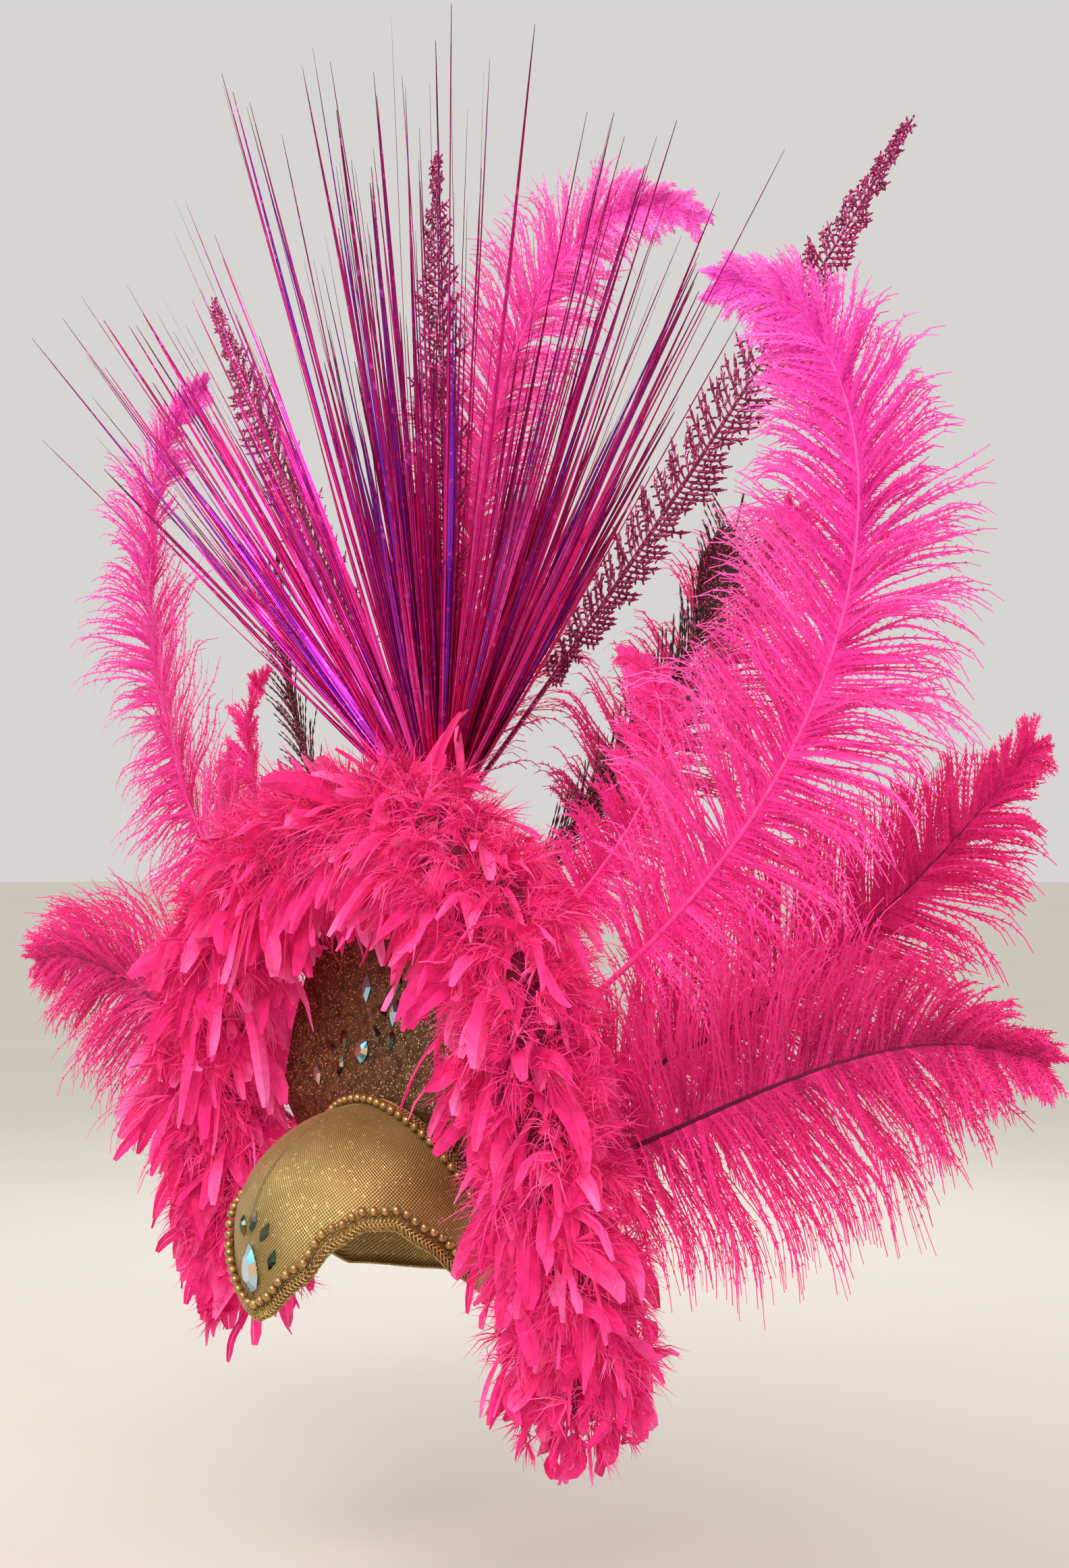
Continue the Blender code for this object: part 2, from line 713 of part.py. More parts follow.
def spray(name, across, lean, where):
    """Round stem whose top opens into long tapered foil sticks."""
    bm = bmesh.new()
    bmesh.ops.create_cone(
        bm,
        cap_ends=True,
        cap_tris=True,
        segments=STICKS,
        radius1=SPRAY_HEAD_RADIUS,
        radius2=SPRAY_HEAD_RADIUS,
        depth=SPRAY_HEAD_LONG,
    )
    foot = Vector((across, spray_y(), SPRAY_HEAD_TOP - SPRAY_HEAD_LONG * 0.5))
    tops = [f for f in bm.faces if f.calc_center_median().z > SPRAY_HEAD_LONG * 0.49]
    turned = {f: math.atan2(f.calc_center_median().y, f.calc_center_median().x) % (2.0 * math.pi) for f in tops}
    tops.sort(key=turned.get)
    for v in bm.verts:
        v.co = v.co + foot
    made = bmesh.ops.extrude_discrete_faces(bm, faces=tops)["faces"]
    for k, face in enumerate(made):
        middle = face.calc_center_median()
        fan = SPRAY_FAN * math.cos(2.0 * math.pi * (k + 0.5) / STICKS)
        forward = SPRAY_FAN * (0.50 - 0.4 * math.sin(2.0 * math.pi * (k + 0.5) / STICKS))
        deep = math.radians(SPRAY_FORWARD * abs(lean + fan) + forward)
        reach = SPRAY_LONG * (0.80 + 0.20 * math.sin(2.4 * k + lean))
        slope = math.radians(lean + fan)
        away = Vector((math.sin(slope), -math.sin(deep), math.cos(slope))).normalized()
        for v in face.verts:
            v.co = middle + away * reach + (v.co - middle) * (STICK_TIP / SPRAY_HEAD_RADIUS)
    return add_mesh(name, bm, "foil", where)


def sprays(where):
    apart = 2.0 * SPRAY_HEAD_RADIUS + SEAT
    spray("spray_left", -apart, -SPRAY_LEAN, where)
    spray("spray_centre", 0.0, 0.0, where)
    spray("spray_right", apart, SPRAY_LEAN, where)


def main():
    clear_scene()
    parts = collection("carnival_feather_headdress")
    cutters = collection("cutters")
    skull_cap(parts)
    crest_plate(parts, head_cutter(GAP + 0.0003, cutters))
    plume_rail(parts)
    trims(parts)
    stones(parts)
    boa(parts)
    feathers(parts)
    ferns(parts)
    sprays(parts)


main()
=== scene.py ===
import json
import math

import bmesh
import bpy
import numpy as np
from mathutils import Matrix, Vector


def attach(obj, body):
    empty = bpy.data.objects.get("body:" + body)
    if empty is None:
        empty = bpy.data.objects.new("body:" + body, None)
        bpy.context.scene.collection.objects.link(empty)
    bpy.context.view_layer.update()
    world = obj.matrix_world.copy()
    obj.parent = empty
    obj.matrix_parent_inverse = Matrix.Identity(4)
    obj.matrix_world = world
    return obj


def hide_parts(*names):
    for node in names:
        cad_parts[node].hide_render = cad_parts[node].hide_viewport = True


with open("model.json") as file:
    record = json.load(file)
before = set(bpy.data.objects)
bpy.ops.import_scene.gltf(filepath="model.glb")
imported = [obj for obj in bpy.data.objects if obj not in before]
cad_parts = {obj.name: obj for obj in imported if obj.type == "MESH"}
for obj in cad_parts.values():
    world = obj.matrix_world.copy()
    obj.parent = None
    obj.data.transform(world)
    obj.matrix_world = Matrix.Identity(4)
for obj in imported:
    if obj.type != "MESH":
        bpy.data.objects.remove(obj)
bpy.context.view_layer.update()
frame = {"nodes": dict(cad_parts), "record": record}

# the photograph's frame and the viewing angle
FRAME_HEIGHT_PIXELS = 2324
METRES_PER_PIXEL = 0.00045
VIEW_AZIMUTH = 50.0
VIEW_DISTANCE = 1.75
VIEW_TARGET = (0.067, 0.080, 0.215)

# sizes shared with the solids, in metres
GAP = 0.0003
SEAT = 0.0007
CAP_HALF_WIDTH = 0.081
CAP_HALF_DEPTH = 0.101
CAP_DOME = 0.082
CAP_TUCK = 0.35
CAP_WALL = 0.0025
CAP_TOP = 0.0030
PEAK_DROP = 0.130
PLATE_HALF_WIDTH = 0.118
PLATE_THICK = 0.0030
PLATE_FRONT = 0.006
PLATE_LEAN = 0.16
PLATE_TUCK = 0.50
BRAID_WIDTH = 0.0070
BRAID_THICK = 0.0020
BEAD_RADIUS = 0.0029
BEAD_PITCH = 0.0074
BROW_TRIM_SPAN = 100.0
CREST_TRIM_FOOT = 0.052
BOA_CORE = 0.034
BOA_HALF_SPAN = PLATE_HALF_WIDTH + 0.042
BOA_TOP = 0.182
BOA_LONG_END = 0.178
RAIL_HALF_WIDTH = 0.104
RAIL_TOP = 0.150
RAIL_FOOT = 0.055
RAIL_HEIGHT = 0.030
RAIL_THICK = 0.006
QUILL_RADIUS = 0.0022
SPRAY_HEAD_RADIUS = 0.0085
SPRAY_HEAD_TOP = 0.216
SPRAY_HEAD_LONG = 0.110
SPRAY_LONG = 0.520
SPRAY_FAN = 14.0
SPRAY_LEAN = 37.0
SPRAY_FORWARD = 0.10
FERN_HALF_WIDTH = 0.022
FERN_SWEEP = -6.0

# sizes and counts of what the scene adds, in metres
WEAVE_PITCH = 0.0026
PLAIT_PITCH = 0.0092
CREST_SLANT = 1.118
PLAIT_CORD_RADIUS = 0.00066
FLUE_STEPS = 10
BARBULES_A_SIDE = 11
BARBULE_LONG = 0.0054
SPRAY_STRANDS = 112
SPRAY_RIM_STRANDS = 12
BLADES = 1400
TUFTS = 3600
HAIRS_A_TUFT = 13
FLOOR_LEVEL = -0.36

# degrees from the front, and drop as a share of PEAK_DROP
BROW_EDGE = (
    (0.0, 1.00),
    (10.0, 0.96),
    (30.0, 0.78),
    (42.0, 0.61),
    (54.0, 0.52),
    (65.0, 0.52),
    (78.0, 0.63),
    (92.0, 0.78),
    (108.0, 0.90),
    (140.0, 0.94),
    (180.0, 0.95),
)

# across, height and set back, as the solids have them
BOA_LINE = (
    (-1.00, -0.80, 0.9),
    (-1.06, -0.35, 0.6),
    (-1.05, 0.15, 0.3),
    (-0.92, 0.62, 0.0),
    (-0.52, 0.93, 0.0),
    (0.00, 1.00, 0.0),
    (0.52, 0.93, 0.0),
    (0.92, 0.62, 0.1),
    (1.14, 0.15, 0.3),
    (1.18, -0.35, 0.6),
    (1.14, -1.00, 1.3),
)

# root across and up, length, lean, sweep, curl, yaw, turn, half width, bare share,
# flues a side, level of painted light on the flues, reach of a flue as a share of the half width
PLUMES = (
    ("tall_plume", 0.97, 0.25, 0.650, 64, -55, -95, 7, 14, 0.082, 0.20, 560, 0.60, 1.18),
    ("side_plume", 0.99, 0.02, 0.428, 78, -46, 7, 24, 10, 0.074, 0.16, 400, 0.30, 1.35),
    ("low_plume", 0.98, -0.90, 0.446, 70, -8, 42, 0, 10, 0.070, 0.16, 440, 0.25, 1.60),
    ("back_plume", 0.45, 0.89, 0.360, 58, -34, 0, 66, 0, 0.060, 0.26, 220, 0.15, 1.55),
    ("curl_plume", 0.92, 0.50, 0.280, 41, 17, -134, 8, 14, 0.032, 0.26, 200, 0.45, 1.40),
)
CENTRE_PLUME = ("centre_plume", 0.0, 0.95, 0.570, 0, 17, 112, 3, 0, 0.064, 0.28, 420, 0.95, 1.20)
GLITTER = ("glitter_feather", 0.66, 0.80, 0.342, 51, -26, -12, 15, 10, 0.024, 0.22, 90, 0.0, 1.0)

# name, side, lean, yaw and length
FERNS = (
    ("fern_left", -1, 45.0, 172.0, 0.540),
    ("fern_centre", 0, 1.6, -90.0, 0.440),
    ("fern_right", 1, 45.0, 8.0, 0.540),
)

# dyes, each row running from painted shade at the root of a flue to painted light at its end
BOA_PINKS = ("#B80E50", "#EE207A", "#FF4092", "#FF72B6")
HOT_PINKS = ("#C81468", "#EE2284", "#FA3C9C", "#FF66BE")
ORCHIDS = ("#C420A0", "#EC34BC", "#FA54D0", "#FF8CE0")
DEEP_PINKS = ("#B01458", "#E02478", "#F4348C", "#F04C9C")
SHADED_PINKS = ("#A01450", "#D42070", "#E83480", "#F04C96")
PINK_QUILL = ("#E83A8C", "#FF50A8", "#FF6AC0")
DARK_QUILL = ("#4A0C28", "#5A1030", "#8A1848")
BLACK_QUILL = ("#3A0818", "#5A1030", "#7A1840")

# dye of the flues at the root and at the tip of the plume, and dye of the quill; the back plume's darker
# shaded pinks are painted shade
PLUME_DYES_AND_SHADE = {
    "tall_plume": (HOT_PINKS, ORCHIDS, PINK_QUILL),
    "side_plume": (DEEP_PINKS, DEEP_PINKS, DARK_QUILL),
    "low_plume": (DEEP_PINKS, DEEP_PINKS, DARK_QUILL),
    "back_plume": (SHADED_PINKS, SHADED_PINKS, BLACK_QUILL),
    "curl_plume": (HOT_PINKS, HOT_PINKS, PINK_QUILL),
    "centre_plume": (HOT_PINKS, ORCHIDS, PINK_QUILL),
}


def linear(text):
    """sRGB hex colour as linear values."""
    values = [int(text[i : i + 2], 16) / 255.0 for i in (1, 3, 5)]
    return [v / 12.92 if v <= 0.04045 else ((v + 0.055) / 1.055) ** 2.4 for v in values]


def rgba(text):
    return (*linear(text), 1.0)


# Meshes from arrays


def put(name, mesh, node, finish):
    """Adds a finished piece, which rides on the one body and stands for a solid."""
    piece = bpy.data.objects.new(name, mesh)
    bpy.context.scene.collection.objects.link(piece)
    mesh.materials.append(finish)
    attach(piece, "root")
    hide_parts(node)


def array_mesh(name, verts, faces, tint=None, smooth=True):
    """Mesh from a vertex array and a face array whose rows have equal length."""
    faces = np.asarray(faces, dtype=np.int32)
    verts = np.asarray(verts, dtype=np.float32)
    mesh = bpy.data.meshes.new(name)
    mesh.vertices.add(len(verts))
    mesh.vertices.foreach_set("co", verts.ravel())
    mesh.loops.add(faces.size)
    mesh.loops.foreach_set("vertex_index", faces.ravel())
    mesh.polygons.add(len(faces))
    mesh.polygons.foreach_set("loop_start", np.arange(len(faces), dtype=np.int32) * faces.shape[1])
    mesh.update(calc_edges=True)
    if tint is not None:
        layer = mesh.attributes.new("tint", "FLOAT_COLOR", "POINT")
        colour = np.ones((len(verts), 4), dtype=np.float32)
        colour[:, :3] = tint
        layer.data.foreach_set("color", colour.ravel())
    mesh.polygons.foreach_set("use_smooth", np.full(len(faces), smooth))
    mesh.update()
    return mesh


def unit(a):
    return a / np.maximum(np.linalg.norm(a, axis=-1, keepdims=True), 1e-9)


def ribbons(points, across, widths, tints):
    """Flat strips: points and across are (n, s, 3), widths (n, s), tints (n, s, 3)."""
    n, s, _ = points.shape
    half = across * widths[..., None] * 0.5
    verts = np.stack((points - half, points + half), axis=2).reshape(-1, 3)
    tint = np.repeat(tints.reshape(-1, 3), 2, axis=0)
    start = (np.arange(n)[:, None] * s + np.arange(s - 1)[None, :]).ravel() * 2
    faces = np.stack((start, start + 1, start + 3, start + 2), axis=1)
    return verts, faces, tint


def tubes(points, radii, sides, tints):
    """Round or few-sided strands, as (n, s, 3) points with a radius at each."""
    n, s, _ = points.shape
    along = unit(np.gradient(points, axis=1))
    steep = np.abs(along[..., 2:3]) > 0.9
    helper = np.where(steep, np.array([0.0, 1.0, 0.0]), np.array([0.0, 0.0, 1.0]))
    one = unit(np.cross(along, helper))
    two = np.cross(along, one)
    angle = np.arange(sides) * 2.0 * math.pi / sides
    ring = one[:, :, None] * np.cos(angle)[:, None] + two[:, :, None] * np.sin(angle)[:, None]
    verts = (points[:, :, None] + ring * radii[..., None, None]).reshape(-1, 3)
    tint = np.repeat(tints.reshape(-1, 3), sides, axis=0)
    base = (np.arange(n)[:, None] * s + np.arange(s - 1)[None, :]).ravel() * sides
    faces = []
    for i in range(sides):
        j = (i + 1) % sides
        faces.append(np.stack((base + j, base + sides + j, base + sides + i, base + i), axis=1))
    return verts, np.concatenate(faces), tint


def join(groups):
    """One vertex, face and tint array out of several."""
    verts, faces, tints, start = [], [], [], 0
    for v, f, t in groups:
        verts.append(v)
        faces.append(f + start)
        tints.append(t)
        start += len(v)
    return np.concatenate(verts), np.concatenate(faces), np.concatenate(tints)


def copies(shape, faces, places, turns, sizes, tints):
    """Copies of one small shape: places (n, 3), turns (n, 3, 3) with rows as axes, sizes (n, 3)."""
    local = shape[None] * sizes[:, None]
    verts = np.einsum("nvi,nij->nvj", local, turns) + places[:, None]
    n, v = verts.shape[:2]
    every = faces[None] + (np.arange(n) * v)[:, None, None]
    return verts.reshape(-1, 3), every.reshape(-1, faces.shape[1]), np.repeat(tints, v, axis=0)


# Lines shared with the solids


def between(table, at):
    """Value of a two-column table, read smoothly between its rows."""
    for low, high in zip(table, table[1:]):
        if at <= high[0]:
            share = (at - low[0]) / (high[0] - low[0])
            share = share * share * (3.0 - 2.0 * share) * 0.4 + share * 0.6
            return low[1] + (high[1] - low[1]) * share
    return table[-1][1]


def cap_share(z):
    """How wide the cap is at a height, as a share of its full width."""
    equator = CAP_TOP - CAP_DOME
    if z >= equator:
        return math.sqrt(max(0.0, 1.0 - ((z - equator) / CAP_DOME) ** 2))
    return 1.0 - CAP_TUCK * ((equator - z) / PEAK_DROP) ** 2


def cap_normal(degrees, z):
    face = cap_point(degrees, z)
    above = z - (CAP_TOP - CAP_DOME)
    rise = above / CAP_DOME**2
    if above < 0.0:
        rise = 2.0 * CAP_TUCK * above / PEAK_DROP**2 * cap_share(z)
    return Vector((face.x / CAP_HALF_WIDTH**2, face.y / CAP_HALF_DEPTH**2, rise)).normalized()


def cap_point(degrees, z, out=0.0):
    angle = math.radians(degrees)
    share = cap_share(z)
    face = Vector((CAP_HALF_WIDTH * share * math.sin(angle), -CAP_HALF_DEPTH * share * math.cos(angle), z))
    return face + cap_normal(degrees, z) * out if out else face


def brow_height(degrees):
    turned = abs((degrees + 180.0) % 360.0 - 180.0)
    return -PEAK_DROP * between(BROW_EDGE, turned)


def plate_y(z):
    return PLATE_FRONT + (PLATE_LEAN * z if z > 0.0 else -PLATE_TUCK * z)


def rail_back(z):
    return plate_y(z) + PLATE_THICK * 0.6 + SEAT + RAIL_THICK


def spray_y():
    return rail_back(RAIL_TOP + RAIL_HEIGHT * 0.5) + SEAT + SPRAY_HEAD_RADIUS


def fern_y():
    return spray_y() + SPRAY_HEAD_RADIUS + SEAT + QUILL_RADIUS


def spread_evenly(points, pitch):
    """Points along a line at equal steps, close to the pitch."""
    steps = [(b - a).length for a, b in zip(points, points[1:])]
    count = max(2, round(sum(steps) / pitch))
    out = [points[0].copy()]
    leg, used = 0, 0.0
    for k in range(1, count):
        goal = sum(steps) * k / count
        while used + steps[leg] < goal:
            used += steps[leg]
            leg += 1
        out.append(points[leg].lerp(points[leg + 1], (goal - used) / steps[leg]))
    out.append(points[-1].copy())
    return out


def brow_stretch(degrees):
    """Rise that keeps a trim the same width where the edge climbs."""
    step = 3.0
    level = -0.7 * PEAK_DROP
    run = (cap_point(degrees + step, level) - cap_point(degrees - step, level)).length
    climb = brow_height(degrees + step) - brow_height(degrees - step)
    return math.hypot(run, climb) / run


def brow_line(rise):
    line = []
    degrees = -BROW_TRIM_SPAN
    while degrees <= BROW_TRIM_SPAN:
        line.append(cap_point(degrees, brow_height(degrees) + rise * brow_stretch(degrees)))
        degrees += 2.0
    return line


def crest_line(rise):
    line = []
    count = 60
    equator = CAP_TOP - CAP_DOME
    last = math.acos((-CREST_TRIM_FOOT - equator) / CAP_DOME)
    for k in range(count + 1):
        angle = last * (2.0 * k / count - 1.0)
        z = equator + CAP_DOME * math.cos(angle)
        for _ in range(4):
            y = plate_y(z) - PLATE_THICK * 0.5 - rise
            left = math.sqrt(1.0 - (y / CAP_HALF_DEPTH) ** 2)
            z = equator + CAP_DOME * math.cos(angle) * left
        line.append(Vector((CAP_HALF_WIDTH * math.sin(angle) * left, y, z)))
    return line


def on_cap(points):
    """Points moved onto the cap's skin, with the skin's normals."""
    moved, normals = [], []
    for p in points:
        degrees = math.degrees(math.atan2(p.x / CAP_HALF_WIDTH, -p.y / CAP_HALF_DEPTH))
        z = min(p.z, CAP_TOP - 0.0001)
        moved.append(cap_point(degrees, z))
        normals.append(cap_normal(degrees, z))
    return moved, normals


def boa_points(count):
    """Even points along the boa's middle."""
    chosen = []
    for across, height, back in BOA_LINE:
        z = height * (BOA_TOP if height > 0.0 else BOA_LONG_END)
        line_y = plate_y(max(z, -0.02)) - PLATE_THICK * 0.5 - GAP - BOA_CORE
        chosen.append(Vector((across * BOA_HALF_SPAN, line_y + back * BOA_CORE, z)))
    ends = [chosen[0] * 2.0 - chosen[1], *chosen, chosen[-1] * 2.0 - chosen[-2]]
    line = []
    for a, b, c, d in zip(ends, ends[1:], ends[2:], ends[3:]):
        for k in range(12):
            t = k / 12
            flat = 2.0 * b + (c - a) * t
            bend = (2.0 * a - 5.0 * b + 4.0 * c - d) * t**2 + (3.0 * b - a - 3.0 * c + d) * t**3
            line.append(0.5 * (flat + bend))
    line.append(chosen[-1].copy())
    length = sum((b - a).length for a, b in zip(line, line[1:]))
    return np.array(spread_evenly(line, length / count))


def quill_line(root, length, lean, sweep, curl, yaw, steps):
    """Middle of a quill, as an array."""
    t = (np.arange(steps) + 0.5) / steps
    angle = np.radians(lean + sweep * t + curl * t**4)
    level = np.sin(angle)
    heading = np.stack((level * math.cos(yaw), level * math.sin(yaw), np.cos(angle)), axis=1)
    return np.concatenate((root[None], root + np.cumsum(heading * (length / steps), axis=0)))


def plume_root(row, side):
    """Where a quill stands on the rail."""
    across, up, lean, yaw = row[1], row[2], row[4], row[7]
    z = up * (RAIL_TOP if up > 0.0 else RAIL_FOOT)
    away = math.sin(math.radians(lean)) * math.sin(math.radians(yaw))
    depth = QUILL_RADIUS * math.sqrt(1.0 - away * away)
    y = rail_back(z) + SEAT + depth
    if across == 0.0:
        y = fern_y() + 2.0 * QUILL_RADIUS + SEAT
    return np.array((across * RAIL_HALF_WIDTH * side, y, z))


# Finishes, with constants on the shader's own sockets


def scale_of(millimetres):
    """Scale of a pattern whose cells or blobs are about that many millimetres wide."""
    return 1000.0 / millimetres


def add_node(tree, kind, inputs, output=0, stops=(), **settings):
    """Adds a node with its settings, its values or links and a ramp's stops, and gives one output."""
    node = tree.nodes.new("ShaderNode" + kind)
    for key, value in settings.items():
        setattr(node, key, value)
    for key, value in inputs.items():
        if isinstance(value, bpy.types.NodeSocket):
            tree.links.new(value, node.inputs[key])
        else:
            node.inputs[key].default_value = value
    for _ in stops[2:]:
        node.color_ramp.elements.new(0.5)
    for k, (place, colour) in enumerate(stops):
        node.color_ramp.elements[k].position = place
        node.color_ramp.elements[k].color = rgba(colour)
    return node.outputs[output] if len(node.outputs) else None


def new_finish(name):
    """An empty material, its node tree, and the place on the object that patterns read."""
    made = bpy.data.materials.new(name)
    made.use_nodes = True
    made.node_tree.nodes.clear()
    return made, made.node_tree, add_node(made.node_tree, "TexCoord", {}, "Object")


def surfaced(made, inputs):
    """The material with its shader joined to the output."""
    body = add_node(made.node_tree, "BsdfPrincipled", inputs)
    add_node(made.node_tree, "OutputMaterial", {"Surface": body})
    return made


def gold_mesh_cloth():
    """Gold lame in a fine plain weave: rows of small raised floats with painted light on their tops and
    painted glints on a few, and painted shade in the gaps between.
    """
    made, tree, place = new_finish("woven_gold_lame")
    cloth = add_node(tree, "Attribute", {}, "Vector", attribute_name="cloth")
    waves = []
    for axis in ("X", "Y"):
        run = add_node(tree, "SeparateXYZ", {"Vector": cloth}, axis)
        turns = add_node(tree, "Math", {0: run, 1: 2.0 * math.pi / WEAVE_PITCH}, operation="MULTIPLY")
        waves.append(add_node(tree, "Math", {0: turns}, operation="SINE"))
    crossed = add_node(tree, "Math", {0: waves[0], 1: waves[1]}, operation="MULTIPLY")
    floats = add_node(tree, "Math", {0: crossed, 1: 0.5, 2: 0.5}, operation="MULTIPLY_ADD")
    # painted shade in the hollows between the floats, and painted light on their tops
    hollow_shade_to_top_light = ((0.1, "#7C6434"), (0.5, "#A88A50"), (0.9, "#D8C084"))
    thread = add_node(tree, "ValToRGB", {"Fac": floats}, stops=hollow_shade_to_top_light)
    patches = add_node(tree, "TexNoise", {"Vector": place, "Scale": scale_of(34.0)}, "Fac")
    wear = add_node(tree, "ValToRGB", {"Fac": patches}, stops=((0.35, "#C4B48E"), (0.65, "#FFFFFF")))
    # painted glints: a few random floats get pale gold painted into their colour, as well as a smoother
    # surface
    cells = add_node(tree, "TexVoronoi", {"Vector": place, "Scale": scale_of(1.5)}, "Color")
    glint = add_node(tree, "ValToRGB", {"Fac": cells}, stops=((0.8, "#000000"), (0.9, "#FFFFFF")))
    worn = {0: 0.5, 6: thread, 7: wear}
    colour = add_node(tree, "Mix", worn, 2, data_type="RGBA", blend_type="MULTIPLY")
    bright = add_node(tree, "Math", {0: glint, 1: 0.4}, operation="MULTIPLY")
    polish = add_node(tree, "Math", {0: glint, 1: 0.14}, operation="MULTIPLY")
    inputs = {
        "Base Color": add_node(tree, "Mix", {0: bright, 6: colour, 7: rgba("#F0E0A8")}, 2, data_type="RGBA"),
        "Metallic": 0.6,
        "Roughness": add_node(tree, "Math", {0: 0.42, 1: polish}, operation="SUBTRACT"),
        "Normal": add_node(tree, "Bump", {"Height": floats, "Distance": 0.0005, "Strength": 0.8}),
        "Sheen Weight": 0.12,
        "Sheen Tint": rgba("#F0E0A8"),
    }
    return surfaced(made, inputs)


def glitter_plate_cloth():
    """The same cloth, darker, partly its own colour and partly painted shade of the boa over it, dusted with
    fine glitter that gives sparse points of light.
    """
    made, tree, place = new_finish("glittered_gold_cloth")
    # real dust is about 0.3 mm, and is drawn three times as coarse so that it shows
    dust = add_node(tree, "TexVoronoi", {"Vector": place, "Scale": scale_of(0.9)}, "Color")
    speck = add_node(tree, "ValToRGB", {"Fac": dust}, stops=((0.78, "#000000"), (0.86, "#FFFFFF")))
    # darker browns: partly the cloth's own colour, partly painted shade of the boa hanging over the plate
    patches = add_node(tree, "TexNoise", {"Vector": place, "Scale": scale_of(6.0)}, "Fac")
    cloth = add_node(tree, "ValToRGB", {"Fac": patches}, stops=((0.3, "#4C301E"), (0.7, "#7C5A3A")))
    polish = add_node(tree, "Math", {0: speck, 1: 0.3}, operation="MULTIPLY")
    inputs = {
        "Base Color": add_node(tree, "Mix", {0: speck, 6: cloth, 7: rgba("#E6C98C")}, 2, data_type="RGBA"),
        "Metallic": 0.7,
        "Roughness": add_node(tree, "Math", {0: 0.5, 1: polish}, operation="SUBTRACT"),
        "Normal": add_node(tree, "Bump", {"Height": dust, "Distance": 0.0006, "Strength": 0.6}),
    }
    return surfaced(made, inputs)


def plaited_gimp():
    """Metallic gold gimp: round twisted cords with fine thread ridges, over a dark strip of painted shade.
    """
    made, tree, place = new_finish("plaited_gold_gimp")
    # real thread is about 0.3 mm, and is drawn twice as coarse so that it shows
    thread = add_node(tree, "TexNoise", {"Vector": place, "Scale": scale_of(0.6), "Detail": 1.0}, "Fac")
    worn = add_node(tree, "TexNoise", {"Vector": place, "Scale": scale_of(4.0)}, "Fac")
    golds = {0: worn, 6: rgba("#94723A"), 7: rgba("#E0C488")}
    gold = add_node(tree, "Mix", golds, 2, data_type="RGBA")
    tint = add_node(tree, "Attribute", {}, "Color", attribute_name="tint")
    dyed = {0: 0.5, 6: gold, 7: tint}
    inputs = {
        "Base Color": add_node(tree, "Mix", dyed, 2, data_type="RGBA", blend_type="MULTIPLY"),
        "Metallic": 0.7,
        "Roughness": 0.36,
        "Normal": add_node(tree, "Bump", {"Height": thread, "Distance": 0.0003, "Strength": 0.6}),
    }
    return surfaced(made, inputs)


def bronze_pearl():
    """Acrylic pearl with bronze lacquer: a soft wide highlight under a thin clear coat."""
    made, tree, place = new_finish("bronze_pearl_lacquer")
    patches = add_node(tree, "TexNoise", {"Vector": place, "Scale": scale_of(3.0)}, "Fac")
    cloud = add_node(tree, "ValToRGB", {"Fac": patches}, stops=((0.3, "#94784A"), (0.7, "#CDB07A")))
    tint = add_node(tree, "Attribute", {}, "Color", attribute_name="tint")
    dyed = {0: 0.5, 6: cloud, 7: tint}
    inputs = {
        "Base Color": add_node(tree, "Mix", dyed, 2, data_type="RGBA", blend_type="MULTIPLY"),
        "Metallic": 0.65,
        "Roughness": 0.3,
        "Coat Weight": 0.6,
        "Coat Roughness": 0.08,
        "Coat Tint": rgba("#FFE6C0"),
    }
    return surfaced(made, inputs)


def coated_crystal(name, stops, millimetres, dark):
    """Foiled cut crystal under a rainbow coating: flat facets, each its own colour, with sharp glints and
    random patches of painted shade.
    """
    made, tree, place = new_finish(name)
    facet = add_node(tree, "NewGeometry", {}, "Normal")
    tilt = add_node(tree, "VectorMath", {0: facet, 1: (2.3, 1.9, 3.1)}, operation="MULTIPLY")
    shift = add_node(tree, "VectorMath", {0: tilt, 1: place}, operation="ADD")
    band = add_node(tree, "TexNoise", {"Vector": shift, "Scale": 1.6, "Detail": 1.0}, "Fac")
    colour = add_node(tree, "ValToRGB", {"Fac": band}, stops=stops)
    # painted shade: random patches darken the facets toward near-black
    cloud = add_node(tree, "TexNoise", {"Vector": place, "Scale": scale_of(millimetres)}, "Fac")
    depth = add_node(tree, "Math", {0: cloud, 1: dark}, operation="MULTIPLY")
    inputs = {
        "Base Color": add_node(tree, "Mix", {0: depth, 6: colour, 7: rgba("#0C0A12")}, 2, data_type="RGBA"),
        "Metallic": 0.85,
        "Roughness": 0.06,
        "Coat Weight": 1.0,
        "Coat Roughness": 0.02,
    }
    return surfaced(made, inputs)


def dyed_barbs(name, sheen, rough, streak):
    """Flues in fluorescent pink dye: tinted strands with flecks, a soft sheen, and a faint painted glow that
    stands in for light shining through them.
    """
    made, tree, place = new_finish(name)
    patches = add_node(tree, "TexNoise", {"Vector": place, "Scale": scale_of(streak)}, "Fac")
    fleck = add_node(tree, "ValToRGB", {"Fac": patches}, stops=((0.3, "#A8A8A8"), (0.7, "#FFFFFF")))
    tint = add_node(tree, "Attribute", {}, "Color", attribute_name="tint")
    dyed = {0: 0.6, 6: tint, 7: fleck}
    inputs = {
        "Base Color": add_node(tree, "Mix", dyed, 2, data_type="RGBA", blend_type="MULTIPLY"),
        "Roughness": rough,
        "Specular IOR Level": 0.25,
        "Sheen Weight": sheen,
        "Sheen Roughness": 0.4,
        "Sheen Tint": rgba("#FF9ACB"),
        # painted glow: the strands give off a little light in their own tint
        "Emission Color": tint,
        "Emission Strength": 0.15,
    }
    return surfaced(made, inputs)


